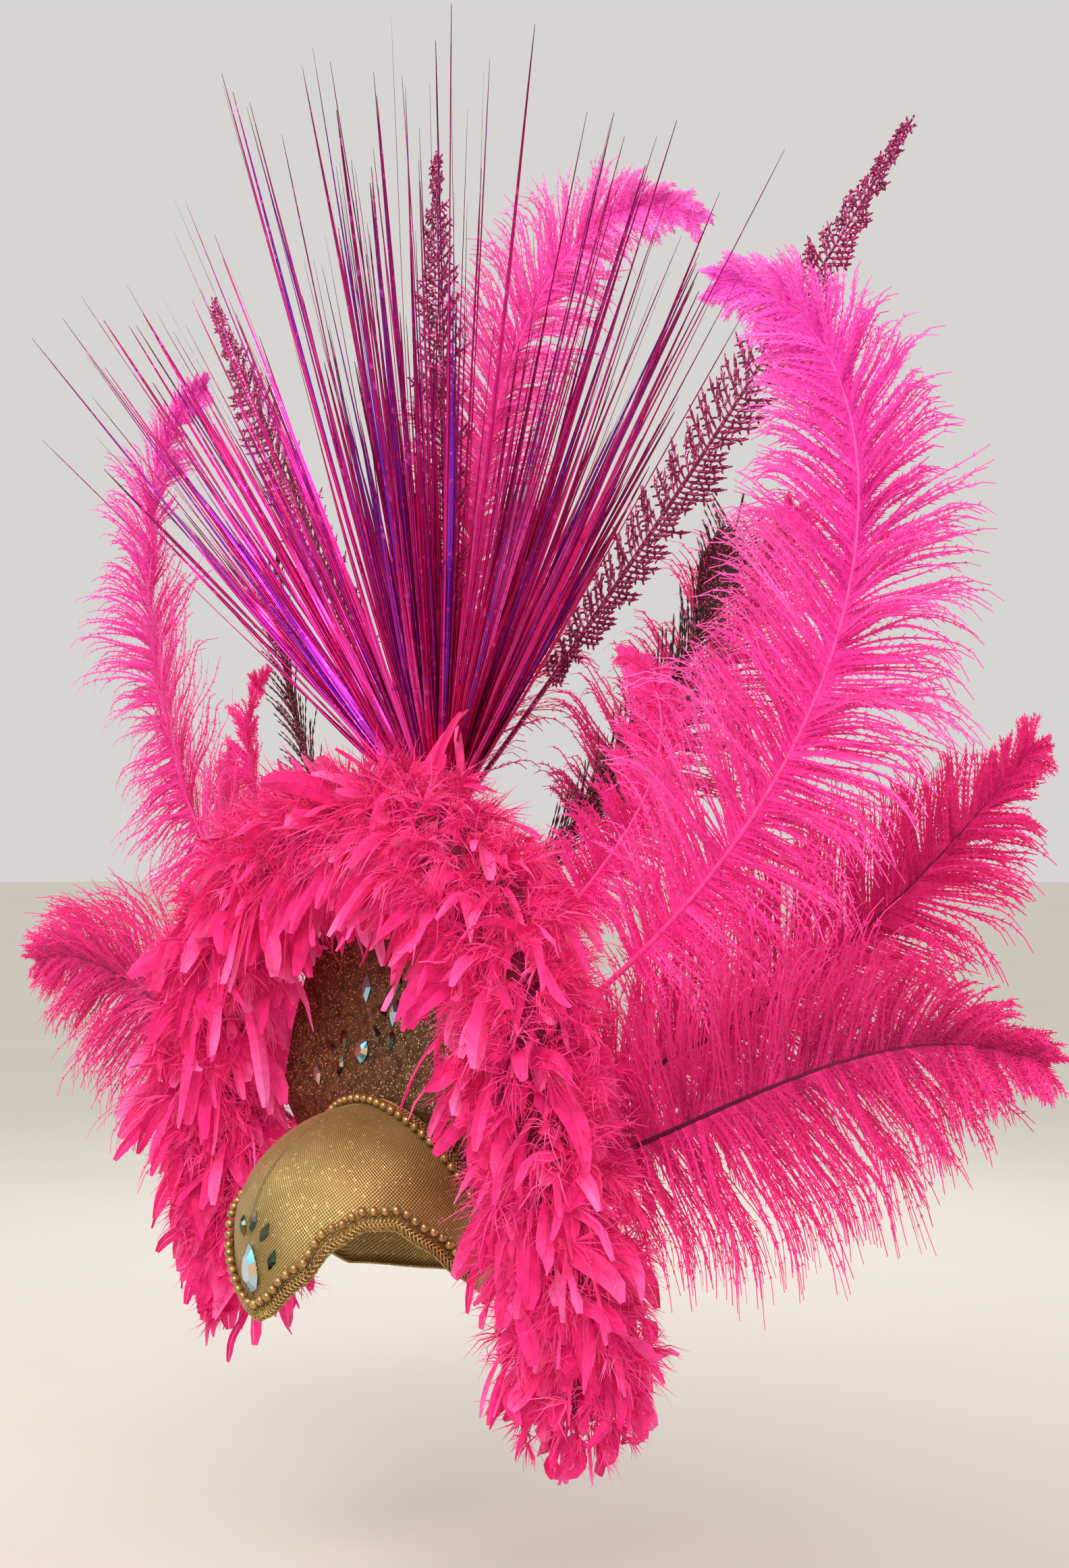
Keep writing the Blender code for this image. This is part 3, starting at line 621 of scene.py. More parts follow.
def holographic_foil():
    """Metallised film with a holographic layer: mirror-like strands whose colour shifts along them."""
    made, tree, place = new_finish("holographic_foil_film")
    flash = add_node(tree, "TexVoronoi", {"Vector": place, "Scale": scale_of(3.2)}, "Color")
    spark = add_node(tree, "ValToRGB", {"Fac": flash}, stops=((0.72, "#000000"), (0.8, "#FFFFFF")))
    patches = add_node(tree, "TexNoise", {"Vector": place, "Scale": scale_of(11.0)}, "Fac")
    hues = ((0.3, "#6A1FC8"), (0.45, "#D01C86"), (0.6, "#FF5CC8"), (0.72, "#8A3CF0"))
    hue = add_node(tree, "ValToRGB", {"Fac": patches}, stops=hues)
    tint = add_node(tree, "Attribute", {}, "Color", attribute_name="tint")
    share = add_node(tree, "Math", {0: spark, 1: 0.75}, operation="MULTIPLY")
    inputs = {
        "Base Color": add_node(tree, "Mix", {0: share, 6: tint, 7: hue}, 2, data_type="RGBA"),
        "Metallic": 0.85,
        "Roughness": 0.24,
        "Normal": add_node(tree, "Bump", {"Height": flash, "Distance": 0.0004, "Strength": 0.6}),
    }
    return surfaced(made, inputs)


def glitter_coat(name, low, high, spark, millimetres):
    """Dark feather or fern under coarse glitter: small plates at random tilts, a few of them bright with
    painted glints.
    """
    made, tree, place = new_finish(name)
    plates = add_node(tree, "TexVoronoi", {"Vector": place, "Scale": scale_of(millimetres)}, "Color")
    # painted glints: the few lit plates get a pale colour painted in, and more metal
    lit = add_node(tree, "ValToRGB", {"Fac": plates}, stops=((0.66, "#000000"), (0.78, "#FFFFFF")))
    patches = add_node(tree, "TexNoise", {"Vector": place, "Scale": scale_of(9.0)}, "Fac")
    base = add_node(tree, "Mix", {0: patches, 6: rgba(low), 7: rgba(high)}, 2, data_type="RGBA")
    tint = add_node(tree, "Attribute", {}, "Color", attribute_name="tint")
    dyed = {0: 0.5, 6: base, 7: tint}
    colour = add_node(tree, "Mix", dyed, 2, data_type="RGBA", blend_type="MULTIPLY")
    inputs = {
        "Base Color": add_node(tree, "Mix", {0: lit, 6: colour, 7: rgba(spark)}, 2, data_type="RGBA"),
        "Metallic": add_node(tree, "Math", {0: lit, 1: 0.5, 2: 0.35}, operation="MULTIPLY_ADD"),
        "Roughness": 0.3,
        "Normal": add_node(tree, "Bump", {"Height": plates, "Distance": 0.0005, "Strength": 0.9}),
    }
    return surfaced(made, inputs)


def covered_board():
    """Buckram board covered in dyed cotton: a flat dull pink-red with a fine plain weave."""
    made, tree, place = new_finish("cotton_covered_board")
    # real cotton thread is about 0.4 mm, and is drawn twice as coarse so that it shows
    weave = add_node(tree, "TexNoise", {"Vector": place, "Scale": scale_of(0.8), "Detail": 1.0}, "Fac")
    reds = {0: weave, 6: rgba("#5A1030"), 7: rgba("#8E2050")}
    inputs = {
        "Base Color": add_node(tree, "Mix", reds, 2, data_type="RGBA"),
        "Roughness": 0.85,
        "Normal": add_node(tree, "Bump", {"Height": weave, "Distance": 0.0003, "Strength": 0.5}),
    }
    return surfaced(made, inputs)


def painted_floor():
    """Pale matt floor with a very faint mottle."""
    made, tree, place = new_finish("pale_matt_floor")
    mottle = add_node(tree, "TexNoise", {"Vector": place, "Scale": scale_of(300.0)}, "Fac")
    pales = {0: mottle, 6: rgba("#C8C3BC"), 7: rgba("#CEC9C3")}
    pale = add_node(tree, "Mix", pales, 2, data_type="RGBA")
    return surfaced(made, {"Base Color": pale, "Roughness": 0.9})


# Feathers


def frame_along(line, facing):
    """Direction, side and front at each point of a quill."""
    along = unit(np.gradient(line, axis=0))
    side = unit(np.cross(along, facing))
    return along, side, unit(np.cross(side, along))


def at(values, where):
    """Values of a line, read between its points."""
    where = np.clip(where, 0.0, 1.0) * (len(values) - 1)
    low = np.minimum(where.astype(int), len(values) - 2)
    part = (where - low)[..., None]
    return values[low] * (1.0 - part) + values[low + 1] * part


def blend(colours, share):
    """Linear colours read along a row of hex values."""
    return at(np.array([linear(c) for c in colours]), share)


def quill_frame(row, side, steps):
    """Line of a plume's quill, with its direction, side and front at each point."""
    length, lean, sweep, curl, yaw, turn = row[3:9]
    heading = math.radians(yaw if side > 0 else 180.0 - yaw)
    line = quill_line(plume_root(row, side), length, lean, sweep, curl, heading, steps)
    turned = math.radians(turn)
    facing = np.array((math.sin(turned) * side, -math.cos(turned), 0.0))
    return (line, *frame_along(line, facing))


def dyed(near, far, tone, share):
    """Colours that run from one row of hex values to another along the quill."""
    return blend(near, tone) * (1.0 - share[..., None]) + blend(far, tone) * share[..., None]


def ostrich(row, side, rng):
    """Ostrich plume: a quill, long drooping flues in wisps, and soft barbules along each flue."""
    # bright is the plume's level of painted light
    half_width, bare, flues, bright, reaching = row[9:]
    colours, far_colours, quill_colours = PLUME_DYES_AND_SHADE[row[0]]
    line, along, across_line, front = quill_frame(row, side, 72)
    groups = []
    # quill
    thin = np.linspace(QUILL_RADIUS, 0.0004, len(line))
    shade = blend(quill_colours, np.linspace(0.0, 1.0, len(line)))
    groups.append(tubes(line[None], thin[None], 6, shade[None]))
    # flues, where neighbours in a wisp share most of their bend
    count = flues * 2
    order = np.arange(count)
    sign = np.where(order % 2 == 0, 1.0, -1.0)
    knots = rng.standard_normal((flues // 5 + 2, 8))
    spot = order // 2 / (flues - 1)
    shared = np.where(sign[:, None] > 0.0, at(knots[:, :4], spot), at(knots[:, 4:], spot)) * 1.2
    own = rng.standard_normal((count, 4))
    loose = 0.70 * shared + 0.45 * own
    share = (order // 2 + 0.5 + 0.3 * own[:, 3]) / flues
    share = np.clip(share, 0.002, 0.998)
    t = bare + (1.0 - bare) * share**0.95
    p0 = at(line, t)
    a0 = unit(at(along, t))
    s0 = unit(at(across_line, t)) * sign[:, None]
    f0 = unit(at(front, t))
    full = np.sin(np.pi * np.minimum(1.0, share * 1.02 + 0.02) ** 0.62) ** 0.6
    full = np.maximum(full, 0.42 - 0.22 * share**6)
    long = half_width * full * reaching * (1.0 + 0.14 * loose[:, 0])
    lean_in = np.radians(66.0 - 34.0 * share + 7.0 * loose[:, 1])
    lift = 0.20 * loose[:, 2] + 0.10
    start = a0 * np.cos(lean_in)[:, None] + s0 * np.sin(lean_in)[:, None] + f0 * lift[:, None]
    steps = FLUE_STEPS
    u = np.linspace(0.0, 1.0, steps)
    droop = (0.30 + 0.10 * loose[:, 3]) * (0.5 + 0.5 * full)
    wave = 1.3 * shared[:, 1]
    points = np.empty((count, steps, 3))
    points[:, 0] = p0
    way = unit(start)
    for k in range(1, steps):
        fall = droop * (0.20 + 4.2 * max(0.0, k / steps - 0.38) ** 1.3)
        way = way + np.array((0.0, 0.0, -1.0)) * fall[:, None] * 0.5
        ringlet = 0.06 + 0.30 * (k / steps) ** 2
        swing = f0 * np.sin(wave + k * 1.1)[:, None] + 0.7 * a0 * np.cos(wave + k)[:, None]
        way = unit(way + swing * ringlet)
        points[:, k] = points[:, k - 1] + way * (long / (steps - 1))[:, None]
    direction = unit(np.gradient(points, axis=1))
    flat = unit(np.cross(direction, f0[:, None] + 0.25 * own[:, None, :3]))
    widths = (0.0022 - 0.0016 * u**0.7)[None] * np.ones((count, 1))
    # painted light: each plume's level of light, lighter toward the end of each flue, over a random tone per
    # flue
    tone = np.clip(bright + 0.22 * loose[:, 0], 0.0, 1.0)
    tone_and_painted_light = np.clip(tone[:, None] * 0.6 + 0.42 * u[None] ** 0.9, 0.0, 1.0)
    far = (share**1.6)[:, None]
    tints = dyed(colours, far_colours, tone_and_painted_light, far)
    groups.append(ribbons(points, flat, widths, tints))
    # barbules, which make each flue a soft strand
    each = BARBULES_A_SIDE
    where = 0.90 * (np.arange(each) + 0.7) / (each + 0.3)
    spots = np.clip(where[None] + 0.02 * rng.standard_normal((count, each)), 0.04, 0.999)
    low = np.minimum((spots * (steps - 1)).astype(int), steps - 2)
    part = (spots * (steps - 1) - low)[..., None]
    rows = np.arange(count)[:, None]
    base = points[rows, low] * (1.0 - part) + points[rows, low + 1] * part
    run = direction[rows, low]
    out = flat[rows, low]
    rise = unit(np.cross(run, out))
    for hand in (-1.0, 1.0):
        spin = rng.random((count, each, 1)) * 1.2 - 0.6
        away = unit(run * 1.25 + out * hand * np.cos(spin) + rise * np.sin(spin))
        reach = BARBULE_LONG * (0.6 + 0.7 * rng.random((count, each, 1)))
        reach = reach * (1.0 - 0.55 * spots[..., None])
        tip = base + away * reach
        strand = np.stack((base, tip), axis=2).reshape(-1, 2, 3)
        sideways = unit(np.cross(strand[:, 1] - strand[:, 0], rise.reshape(-1, 3)))
        sideways = np.repeat(sideways[:, None], 2, axis=1)
        wide = np.tile(np.array((0.0011, 0.0002)), (len(strand), 1))
        # painted light, a little more at the tip of each barbule
        lit = np.repeat(tone_and_painted_light[rows, low].reshape(-1), 2).reshape(-1, 2)
        lit = np.clip(lit + np.array((0.0, 0.16)), 0.0, 1.0)
        tints = dyed(colours, far_colours, lit, np.repeat(far, each, axis=0))
        groups.append(ribbons(strand, sideways, wide, tints))
    return join(groups)


def herl_feather(row, side, rng):
    """Glittered peacock feather: beaded herls beside a thin quill, and a domed dark eye near the tip."""
    half_width, bare, flues = row[9:12]
    line, along, across_line, front = quill_frame(row, side, 60)
    groups = []
    shade = np.tile(np.array(linear("#5A2A3A")), (len(line), 1))
    thin = np.linspace(QUILL_RADIUS, 0.0007, len(line))
    groups.append(tubes(line[None], thin[None], 6, shade[None]))
    count = flues * 2
    sign = np.where(np.arange(count) % 2 == 0, 1.0, -1.0)
    share = (np.arange(count) + 0.5) / count
    t = bare * 0.6 + (0.93 - bare * 0.6) * share
    long = half_width * (2.3 - 1.1 * share**3) * (0.75 + 0.35 * rng.random(count))
    a0, s0, f0 = unit(at(along, t)), unit(at(across_line, t)) * sign[:, None], unit(at(front, t))
    open_out = 0.34 + 0.62 * share**5 + 0.08 * rng.standard_normal(count)
    way = unit(a0 + s0 * open_out[:, None] + f0 * (0.10 * rng.standard_normal(count) + 0.06)[:, None])
    u = np.linspace(0.0, 1.0, 15)
    curve = at(line, t)[:, None] + way[:, None] * (long[:, None, None] * u[None, :, None])
    curve = curve + s0[:, None] * (long[:, None, None] * 0.10 * (u**3)[None, :, None])
    beads = np.where(np.arange(15) % 2 == 0, 0.0004, 0.0011) * (1.0 - 0.35 * u)
    tints = np.repeat(blend(("#6A3848", "#A04A6C", "#5A4038"), rng.random(count))[:, None], 15, axis=1)
    groups.append(tubes(curve, np.tile(beads, (count, 1)), 3, tints))
    # eye
    spot = np.array([0.86])
    centre = at(line, spot)[0]
    a1, s1, f1 = (unit(at(v, spot))[0] for v in (along, across_line, front))
    rings, around = 9, 24
    verts, faces = [], []
    for i in range(rings):
        r = (i + 0.15) / (rings - 0.85)
        angle = np.arange(around) * 2.0 * math.pi / around
        uneven = 1.0 + 0.06 * np.sin(angle * 7.0) * r
        x = np.sin(angle) * half_width * 0.70 * r * uneven
        y = np.cos(angle) * half_width * 1.15 * r * uneven
        high = 0.0022 + 0.0035 * math.sqrt(max(0.0, 1.0 - r * r))
        verts.append(centre + s1 * x[:, None] + a1 * y[:, None] + f1 * high)
    for i in range(rings - 1):
        for j in range(around):
            k = (j + 1) % around
            faces.append((i * around + k, (i + 1) * around + k, (i + 1) * around + j, i * around + j))
    tint = np.repeat(blend(("#5A3A34", "#4A4A38", "#3A2430"), np.linspace(0.0, 1.0, rings)), around, axis=0)
    groups.append((np.concatenate(verts), np.array(faces), tint))
    return join(groups)


# Ferns and foil sprays


def fern(side, lean, yaw, length, rng):
    """Fern pick: a thin stem with comb-like rows of beaded leaflets on both sides."""
    root = np.array((side * 0.017, fern_y(), SPRAY_HEAD_TOP - 0.011))
    line = quill_line(root, length, lean, FERN_SWEEP * abs(side), 0.0, math.radians(yaw), 80)
    facing = np.array((0.0, -1.0, 0.0))
    along, across_line, front = frame_along(line, facing)
    groups = []
    shade = np.tile(np.array(linear("#8E3058")), (len(line), 1))
    thin = np.linspace(QUILL_RADIUS * 0.9, 0.0007, len(line))
    groups.append(tubes(line[None], thin[None], 6, shade[None]))
    pairs = int(length * 0.8 / 0.0043)
    count = pairs * 2
    share = np.repeat((np.arange(pairs) + 0.5) / pairs, 2)
    sign = np.tile(np.array((1.0, -1.0)), pairs)
    t = 0.20 + 0.79 * share
    a0, s0, f0 = unit(at(along, t)), unit(at(across_line, t)) * sign[:, None], unit(at(front, t))
    full = np.minimum(1.0, (1.04 - share) * 2.6) * np.minimum(1.0, 0.45 + share * 2.2)
    long = FERN_HALF_WIDTH * 1.1 * full * (0.9 + 0.2 * rng.random(count))
    way = unit(a0 * 0.42 + s0 + f0 * (0.35 * rng.standard_normal(count) + 0.15)[:, None])
    u = np.linspace(0.0, 1.0, 9)
    curve = at(line, t)[:, None] + way[:, None] * (long[:, None, None] * u[None, :, None])
    curve = curve + a0[:, None] * (long[:, None, None] * 0.25 * (u**2)[None, :, None])
    beads = np.array((0.0006, 0.0007, 0.0014, 0.0008, 0.0015, 0.0008, 0.0015, 0.0010, 0.0004))
    tint = blend(("#7A1848", "#D04A90"), rng.random(count))
    tints = np.repeat(tint[:, None], 9, axis=1)
    groups.append(tubes(curve, np.tile(beads, (count, 1)), 4, tints))
    # short nubs beside each leaflet
    for k in (2, 4, 6):
        for hand in (-1.0, 1.0):
            spot = curve[:, k]
            aim = unit(a0 * hand + way * 0.7 + f0 * (0.4 * rng.standard_normal(count))[:, None])
            nub = np.stack((spot, spot + aim * 0.0030, spot + aim * 0.0042), axis=1)
            radii = np.tile(np.array((0.0007, 0.0009, 0.0003)), (count, 1))
            groups.append(tubes(nub, radii, 3, np.repeat(tint[:, None], 3, axis=1)))
    return join(groups)


def foil_spray(across, lean, rng):
    """Bundle of long film strands, bound at the foot and fanned out, with thin dark ends."""
    foot = np.array((across, spray_y(), SPRAY_HEAD_TOP - 0.01))
    count, rim = SPRAY_STRANDS, SPRAY_RIM_STRANDS
    turn = rng.random(count) * 2.0 * math.pi
    spread = np.sqrt(rng.random(count))
    turn[:rim] = (np.arange(rim) + 0.5) * math.pi * 2.0 / rim
    spread[:rim] = 1.0
    fan = SPRAY_FAN * np.cos(turn) * spread
    fan[rim:] = np.clip(fan[rim:] + (lean != 0.0) * (4.0 + 0.03 * lean), -SPRAY_FAN, SPRAY_FAN)
    forward = SPRAY_FAN * (0.50 - 0.4 * np.sin(turn) * spread)
    k = turn / (2.0 * math.pi) * rim - 0.5
    reach = SPRAY_LONG * (0.8 + 0.2 * np.sin(2.4 * np.round(k) + lean))
    reach[rim:] *= 1.0 - 0.38 * rng.random(count - rim) ** 1.4
    reach = reach * (0.92 if lean < 0.0 else 1.0)
    slope = np.radians(lean + fan)
    deep = np.radians(SPRAY_FORWARD * np.abs(lean + fan) + forward)
    away = unit(np.stack((np.sin(slope), -np.sin(deep), np.cos(slope)), axis=1))
    start = np.stack((np.cos(turn), np.sin(turn), np.zeros(count)), axis=1) * (0.0065 * spread)[:, None]
    steps = 17
    u = np.linspace(0.0, 1.0, steps)
    bend = unit(np.cross(away, unit(rng.standard_normal((count, 3)))))
    arc = (0.010 * np.sin(u * math.pi) + 0.010 * u**3)[None, :, None]
    bow = arc * bend[:, None] * rng.random((count, 1, 1))
    points = (foot + start)[:, None] + away[:, None] * (reach[:, None, None] * u[None, :, None]) + bow
    side = unit(np.cross(away, rng.standard_normal((count, 3))))
    twist = u[None] * (rng.random((count, 1)) * 7.0 - 3.5) + rng.random((count, 1)) * 6.28
    other = np.cross(away, side)
    flat = side[:, None] * np.cos(twist)[..., None] + other[:, None] * np.sin(twist)[..., None]
    stout = 0.45 + 0.75 * rng.random((count, 1)) ** 1.5
    widths = np.tile(0.0048 * (1.0 - u) ** 0.64 + 0.0005, (count, 1)) * stout
    tone = rng.random(count)[:, None] * 0.95 + 0.05 * u[None]
    tints = blend(("#B01468", "#DC2484", "#FF48B4", "#C01C78", "#7A34D8"), np.clip(tone, 0.0, 1.0))
    dark = np.array(linear("#761848"))
    end = np.clip((u - 0.62) / 0.38, 0.0, 1.0)[None, :, None]
    tints = tints * (1.0 - end) + dark * end
    # a thin rod inside each strip, so that a strand is seen from every side
    return join((ribbons(points, flat, widths, tints), tubes(points, widths * 0.22, 3, tints)))


def binding(across):
    """Wire and tape round a spray's foot: a short thick stem with turns of tape."""
    around, rows = 16, 60
    z = np.linspace(SPRAY_HEAD_TOP - SPRAY_HEAD_LONG, SPRAY_HEAD_TOP, rows)
    wraps = np.abs(np.sin(z * 520.0))
    radius = SPRAY_HEAD_RADIUS * (0.90 + 0.08 * wraps)
    line = np.stack((np.full(rows, across), np.full(rows, spray_y()), z), axis=1)
    tints = np.tile(np.array(linear("#A01C60")), (rows, 1))
    radius[0] = radius[-1] = 0.0005
    return tubes(line[None], radius[None], around, tints[None])


# Boa


def boa_blades(rng):
    """Blades of the boa: broad limp flats thrown out all round its core, each with a shallow keel."""
    line = boa_points(160)
    along = unit(np.gradient(line, axis=0))
    helper = unit(np.cross(along, np.array((0.0, 1.0, 0.0))))
    other = np.cross(along, helper)
    down = np.array((0.0, 0.0, -1.0))
    count = BLADES
    t = (np.arange(count) + rng.random(count)) / count
    turn = np.arange(count) * 2.39996 + 0.6 * rng.standard_normal(count)
    p0, a0 = at(line, t), unit(at(along, t))
    h0, o0 = unit(at(helper, t)), unit(at(other, t))
    out = unit(h0 * np.cos(turn)[:, None] + o0 * np.sin(turn)[:, None])
    skew = a0 * (0.6 * rng.standard_normal(count))[:, None]
    start = unit(out + skew + 0.25 * rng.standard_normal((count, 3)))
    rear = np.clip(out[:, 1], 0.0, 1.0)
    ends = np.clip(np.minimum(t, 1.0 - t) * 14.0, 0.0, 1.0)
    inner = np.clip(-out[:, 0] * np.sign(p0[:, 0]), 0.0, 1.0) * (p0[:, 2] > 0.03)
    long = (0.030 + 0.050 * rng.random(count) ** 1.2) * (1.0 - 0.30 * rear) * (0.62 + 0.38 * ends)
    long = long * (1.0 + 0.30 * inner)
    hang = 0.10 + 0.16 * np.abs(a0[:, 2]) + 0.05 * rng.random(count)
    steps = 9
    u = np.linspace(0.0, 1.0, steps)
    points = np.empty((count, steps, 3))
    points[:, 0] = p0 + start * 0.020
    way = start.copy()
    curl = unit(rng.standard_normal((count, 3)))
    bend = rng.standard_normal(count) * 0.32
    wave = rng.random(count) * 6.28
    for k in range(1, steps):
        push = curl * (bend * np.cos(wave + k * 0.9) + 0.5 * bend)[:, None]
        way = unit(way + down * hang[:, None] + push)
        points[:, k] = points[:, k - 1] + way * (long / (steps - 1))[:, None]
    direction = unit(np.gradient(points, axis=1))
    roll = rng.random((count, 1)) * 3.14 + u[None] * rng.standard_normal((count, 1)) * 1.3
    base = unit(np.cross(direction, (out * 0.4 + a0)[:, None]))
    third = np.cross(direction, base)
    flat = base * np.cos(roll)[..., None] + third * np.sin(roll)[..., None]
    keel = np.cross(direction, flat)
    shape = np.array((0.22, 0.50, 0.80, 1.0, 1.0, 1.0, 0.95, 0.80, 0.38))
    slim = 0.35 + 0.75 * rng.random((count, 1)) ** 1.2
    widths = 0.0150 * shape[None] * slim
    # painted shade near the core, turning to painted light toward the end of each blade, over a random tone
    # per blade
    tone = np.clip(0.5 + 0.34 * rng.standard_normal(count), 0.0, 1.0)[:, None]
    tints = blend(BOA_PINKS, np.clip((0.15 + 0.85 * u[None]) * (0.30 + 0.75 * tone), 0.0, 1.0))
    groups = []
    for hand in (-1.0, 1.0):
        wing = points + flat * (hand * widths * 0.25)[..., None] + keel * (widths * 0.10)[..., None]
        tilt = unit(flat * hand + keel * 0.4)
        groups.append(ribbons(wing, tilt, widths * 0.52, tints))
    return join(groups)


def boa_down(rng):
    """Down of the boa: thousands of small tufts of fine curved hairs, which blur its edge."""
    line = boa_points(160)
    along = unit(np.gradient(line, axis=0))
    helper = unit(np.cross(along, np.array((0.0, 1.0, 0.0))))
    other = np.cross(along, helper)
    down = np.array((0.0, 0.0, -1.0))
    tufts, hairs = TUFTS, HAIRS_A_TUFT
    t = 0.01 + 0.98 * rng.random(tufts)
    turn = rng.random(tufts) * 6.2832
    p0, a0 = at(line, t), unit(at(along, t))
    h0, o0 = unit(at(helper, t)), unit(at(other, t))
    out = h0 * np.cos(turn)[:, None] + o0 * np.sin(turn)[:, None]
    out = unit(out + a0 * (0.5 * rng.standard_normal(tufts))[:, None])
    root = p0 + out * (0.020 + 0.026 * rng.random(tufts) ** 0.8)[:, None]
    lean = unit(out * 0.9 + 0.6 * rng.standard_normal((tufts, 3)) + down * 0.25)
    spread = unit(lean[:, None] + 0.42 * rng.standard_normal((tufts, hairs, 3)))
    reach = (0.014 + 0.026 * rng.random((tufts, 1, 1))) * (0.6 + 0.5 * rng.random((tufts, hairs, 1)))
    reach = reach * (0.6 + 0.4 * np.clip(np.minimum(t, 1.0 - t) * 14.0, 0.0, 1.0))[:, None, None]
    middle = root[:, None] + spread * reach * 0.5
    tip = middle + unit(spread + down * 0.5 + 0.3 * rng.standard_normal(spread.shape)) * reach * 0.5
    strand = np.stack((np.broadcast_to(root[:, None], middle.shape), middle, tip), axis=2).reshape(-1, 3, 3)
    sideways = unit(np.cross(strand[:, 1] - strand[:, 0], rng.standard_normal((len(strand), 3))))
    sideways = np.repeat(sideways[:, None], 3, axis=1)
    wide = np.tile(np.array((0.0010, 0.0009, 0.0001)), (len(strand), 1))
    # painted shade at the root of each hair, painted light toward its tip, over a random tone per tuft
    lit = np.repeat(np.clip(0.42 + 0.26 * rng.standard_normal(tufts), 0.0, 1.0), hairs)[:, None]
    lit = np.clip(lit * 0.75 + np.array((0.05, 0.18, 0.38)), 0.0, 1.0)
    return ribbons(strand, sideways, wide, blend(BOA_PINKS, lit))


def boa_core():
    """Twisted cord core of the boa, in a dark colour that paints in the shade deep in its middle."""
    line = boa_points(90)
    radius = np.full(91, 0.024)
    radius[0] = radius[-1] = 0.008
    tints = np.tile(np.array(linear("#7A0A34")), (91, 1))
    return tubes(line[None], radius[None], 12, tints[None])


# Cap, trims and stones


def cap_mesh():
    """Cap as one closed skin: cloth outside, a padded edge rolled under, and a lining inside."""
    around, rows = 120, 30
    bm = bmesh.new()
    shares = [math.sin(0.995 * k / rows * math.pi / 2.0) for k in range(rows + 1)]
    outside = [(share, 0.0) for share in reversed(shares)]
    edge = [(-0.010, 0.0), (-0.016, -CAP_WALL * 0.35), (-0.012, -CAP_WALL * 0.8), (0.0, -CAP_WALL - 0.0004)]
    lining = [(share, -CAP_WALL) for share in shares]
    loops = []
    for share, out in outside + edge + lining:
        loop = []
        for j in range(around):
            degrees = 360.0 * j / around
            low = brow_height(degrees)
            z = low + (CAP_TOP - low) * max(share, 0.0)
            face = cap_point(degrees, min(z, CAP_TOP - 0.00002), out)
            face.z += min(share, 0.0) * 0.1
            loop.append(bm.verts.new(face))
        loops.append(loop)
    for one, two in zip(loops, loops[1:]):
        for j in range(around):
            k = (j + 1) % around
            bm.faces.new((one[j], two[j], two[k], one[k]))
    bm.faces.new(loops[0])
    bm.faces.new(loops[-1][::-1])
    bmesh.ops.recalc_face_normals(bm, faces=bm.faces)
    spots = np.array([[tuple(v.co) for v in loop] for loop in loops])
    cloth = np.zeros_like(spots)
    cloth[:, :, 0] = np.linspace(0.0, 2.0 * math.pi, around)[None] * 0.0935
    cloth[1:, :, 1] = np.linalg.norm(np.diff(spots, axis=0), axis=2).cumsum(axis=0)
    mesh = bpy.data.meshes.new("cap_cloth")
    bm.to_mesh(mesh)
    bm.free()
    layer = mesh.attributes.new("cloth", "FLOAT_VECTOR", "POINT")
    layer.data.foreach_set("vector", cloth.astype(np.float32).ravel())
    mesh.polygons.foreach_set("use_smooth", np.full(len(mesh.polygons), True))
    mesh.update()
    return mesh


def plait(line, normals):
    """Three cords plaited flat along a line, with a row of small thread loops on each side."""
    points = np.array([tuple(p) for p in line])
    up = unit(np.array([tuple(n) for n in normals]))
    count = 480
    share = np.linspace(0.0, 1.0, count)
    mid = at(points, share)
    up = unit(at(up, share))
    along = unit(np.gradient(mid, axis=0))
    side = unit(np.cross(along, up))
    length = np.linalg.norm(np.diff(mid, axis=0), axis=1).sum()
    turn = share * length / PLAIT_PITCH * 2.0 * math.pi
    groups = []
    gold = np.array(linear("#FFF4DC"))
    # a dark strip under the cords paints in the shade between them
    dark = np.array(linear("#3A2A16"))
    shade_strip = mid + up * 0.0005
    wide = np.full((1, count), 0.0066)
    groups.append(ribbons(shade_strip[None], side[None], wide, np.tile(dark, (count, 1))[None]))
    golds = np.tile(gold, (count, 1))[None]
    for k in range(3):
        phase = turn + k * 2.0 * math.pi / 3.0
        high = 0.0014 + 0.0007 * np.sin(2.0 * phase)
        cord = mid + side * (0.0027 * np.sin(phase))[:, None] + up * high[:, None]
        groups.append(tubes(cord[None], np.full((1, count), PLAIT_CORD_RADIUS), 5, golds))
    for hand in (-1.0, 1.0):
        out = 0.0035 + 0.0009 * np.sin(turn * 1.5)
        loop = mid + side * (hand * out)[:, None] + up * (0.0010 + 0.0005 * np.cos(turn * 1.5))[:, None]
        groups.append(tubes(loop[None], np.full((1, count), 0.0005), 4, golds))
    return join(groups)


def ball():
    """Unit ball of 12 by 8 faces, without single points at the poles."""
    verts, faces = [], []
    for i in range(9):
        a = math.pi * min(max(i / 8.0, 0.03), 0.97)
        for j in range(12):
            b = 2.0 * math.pi * j / 12.0
            verts.append((math.sin(a) * math.cos(b), math.sin(a) * math.sin(b), math.cos(a)))
    for i in range(8):
        for j in range(12):
            k = (j + 1) % 12
            faces.append((i * 12 + j, (i + 1) * 12 + j, (i + 1) * 12 + k, i * 12 + k))
    return np.array(verts), np.array(faces)


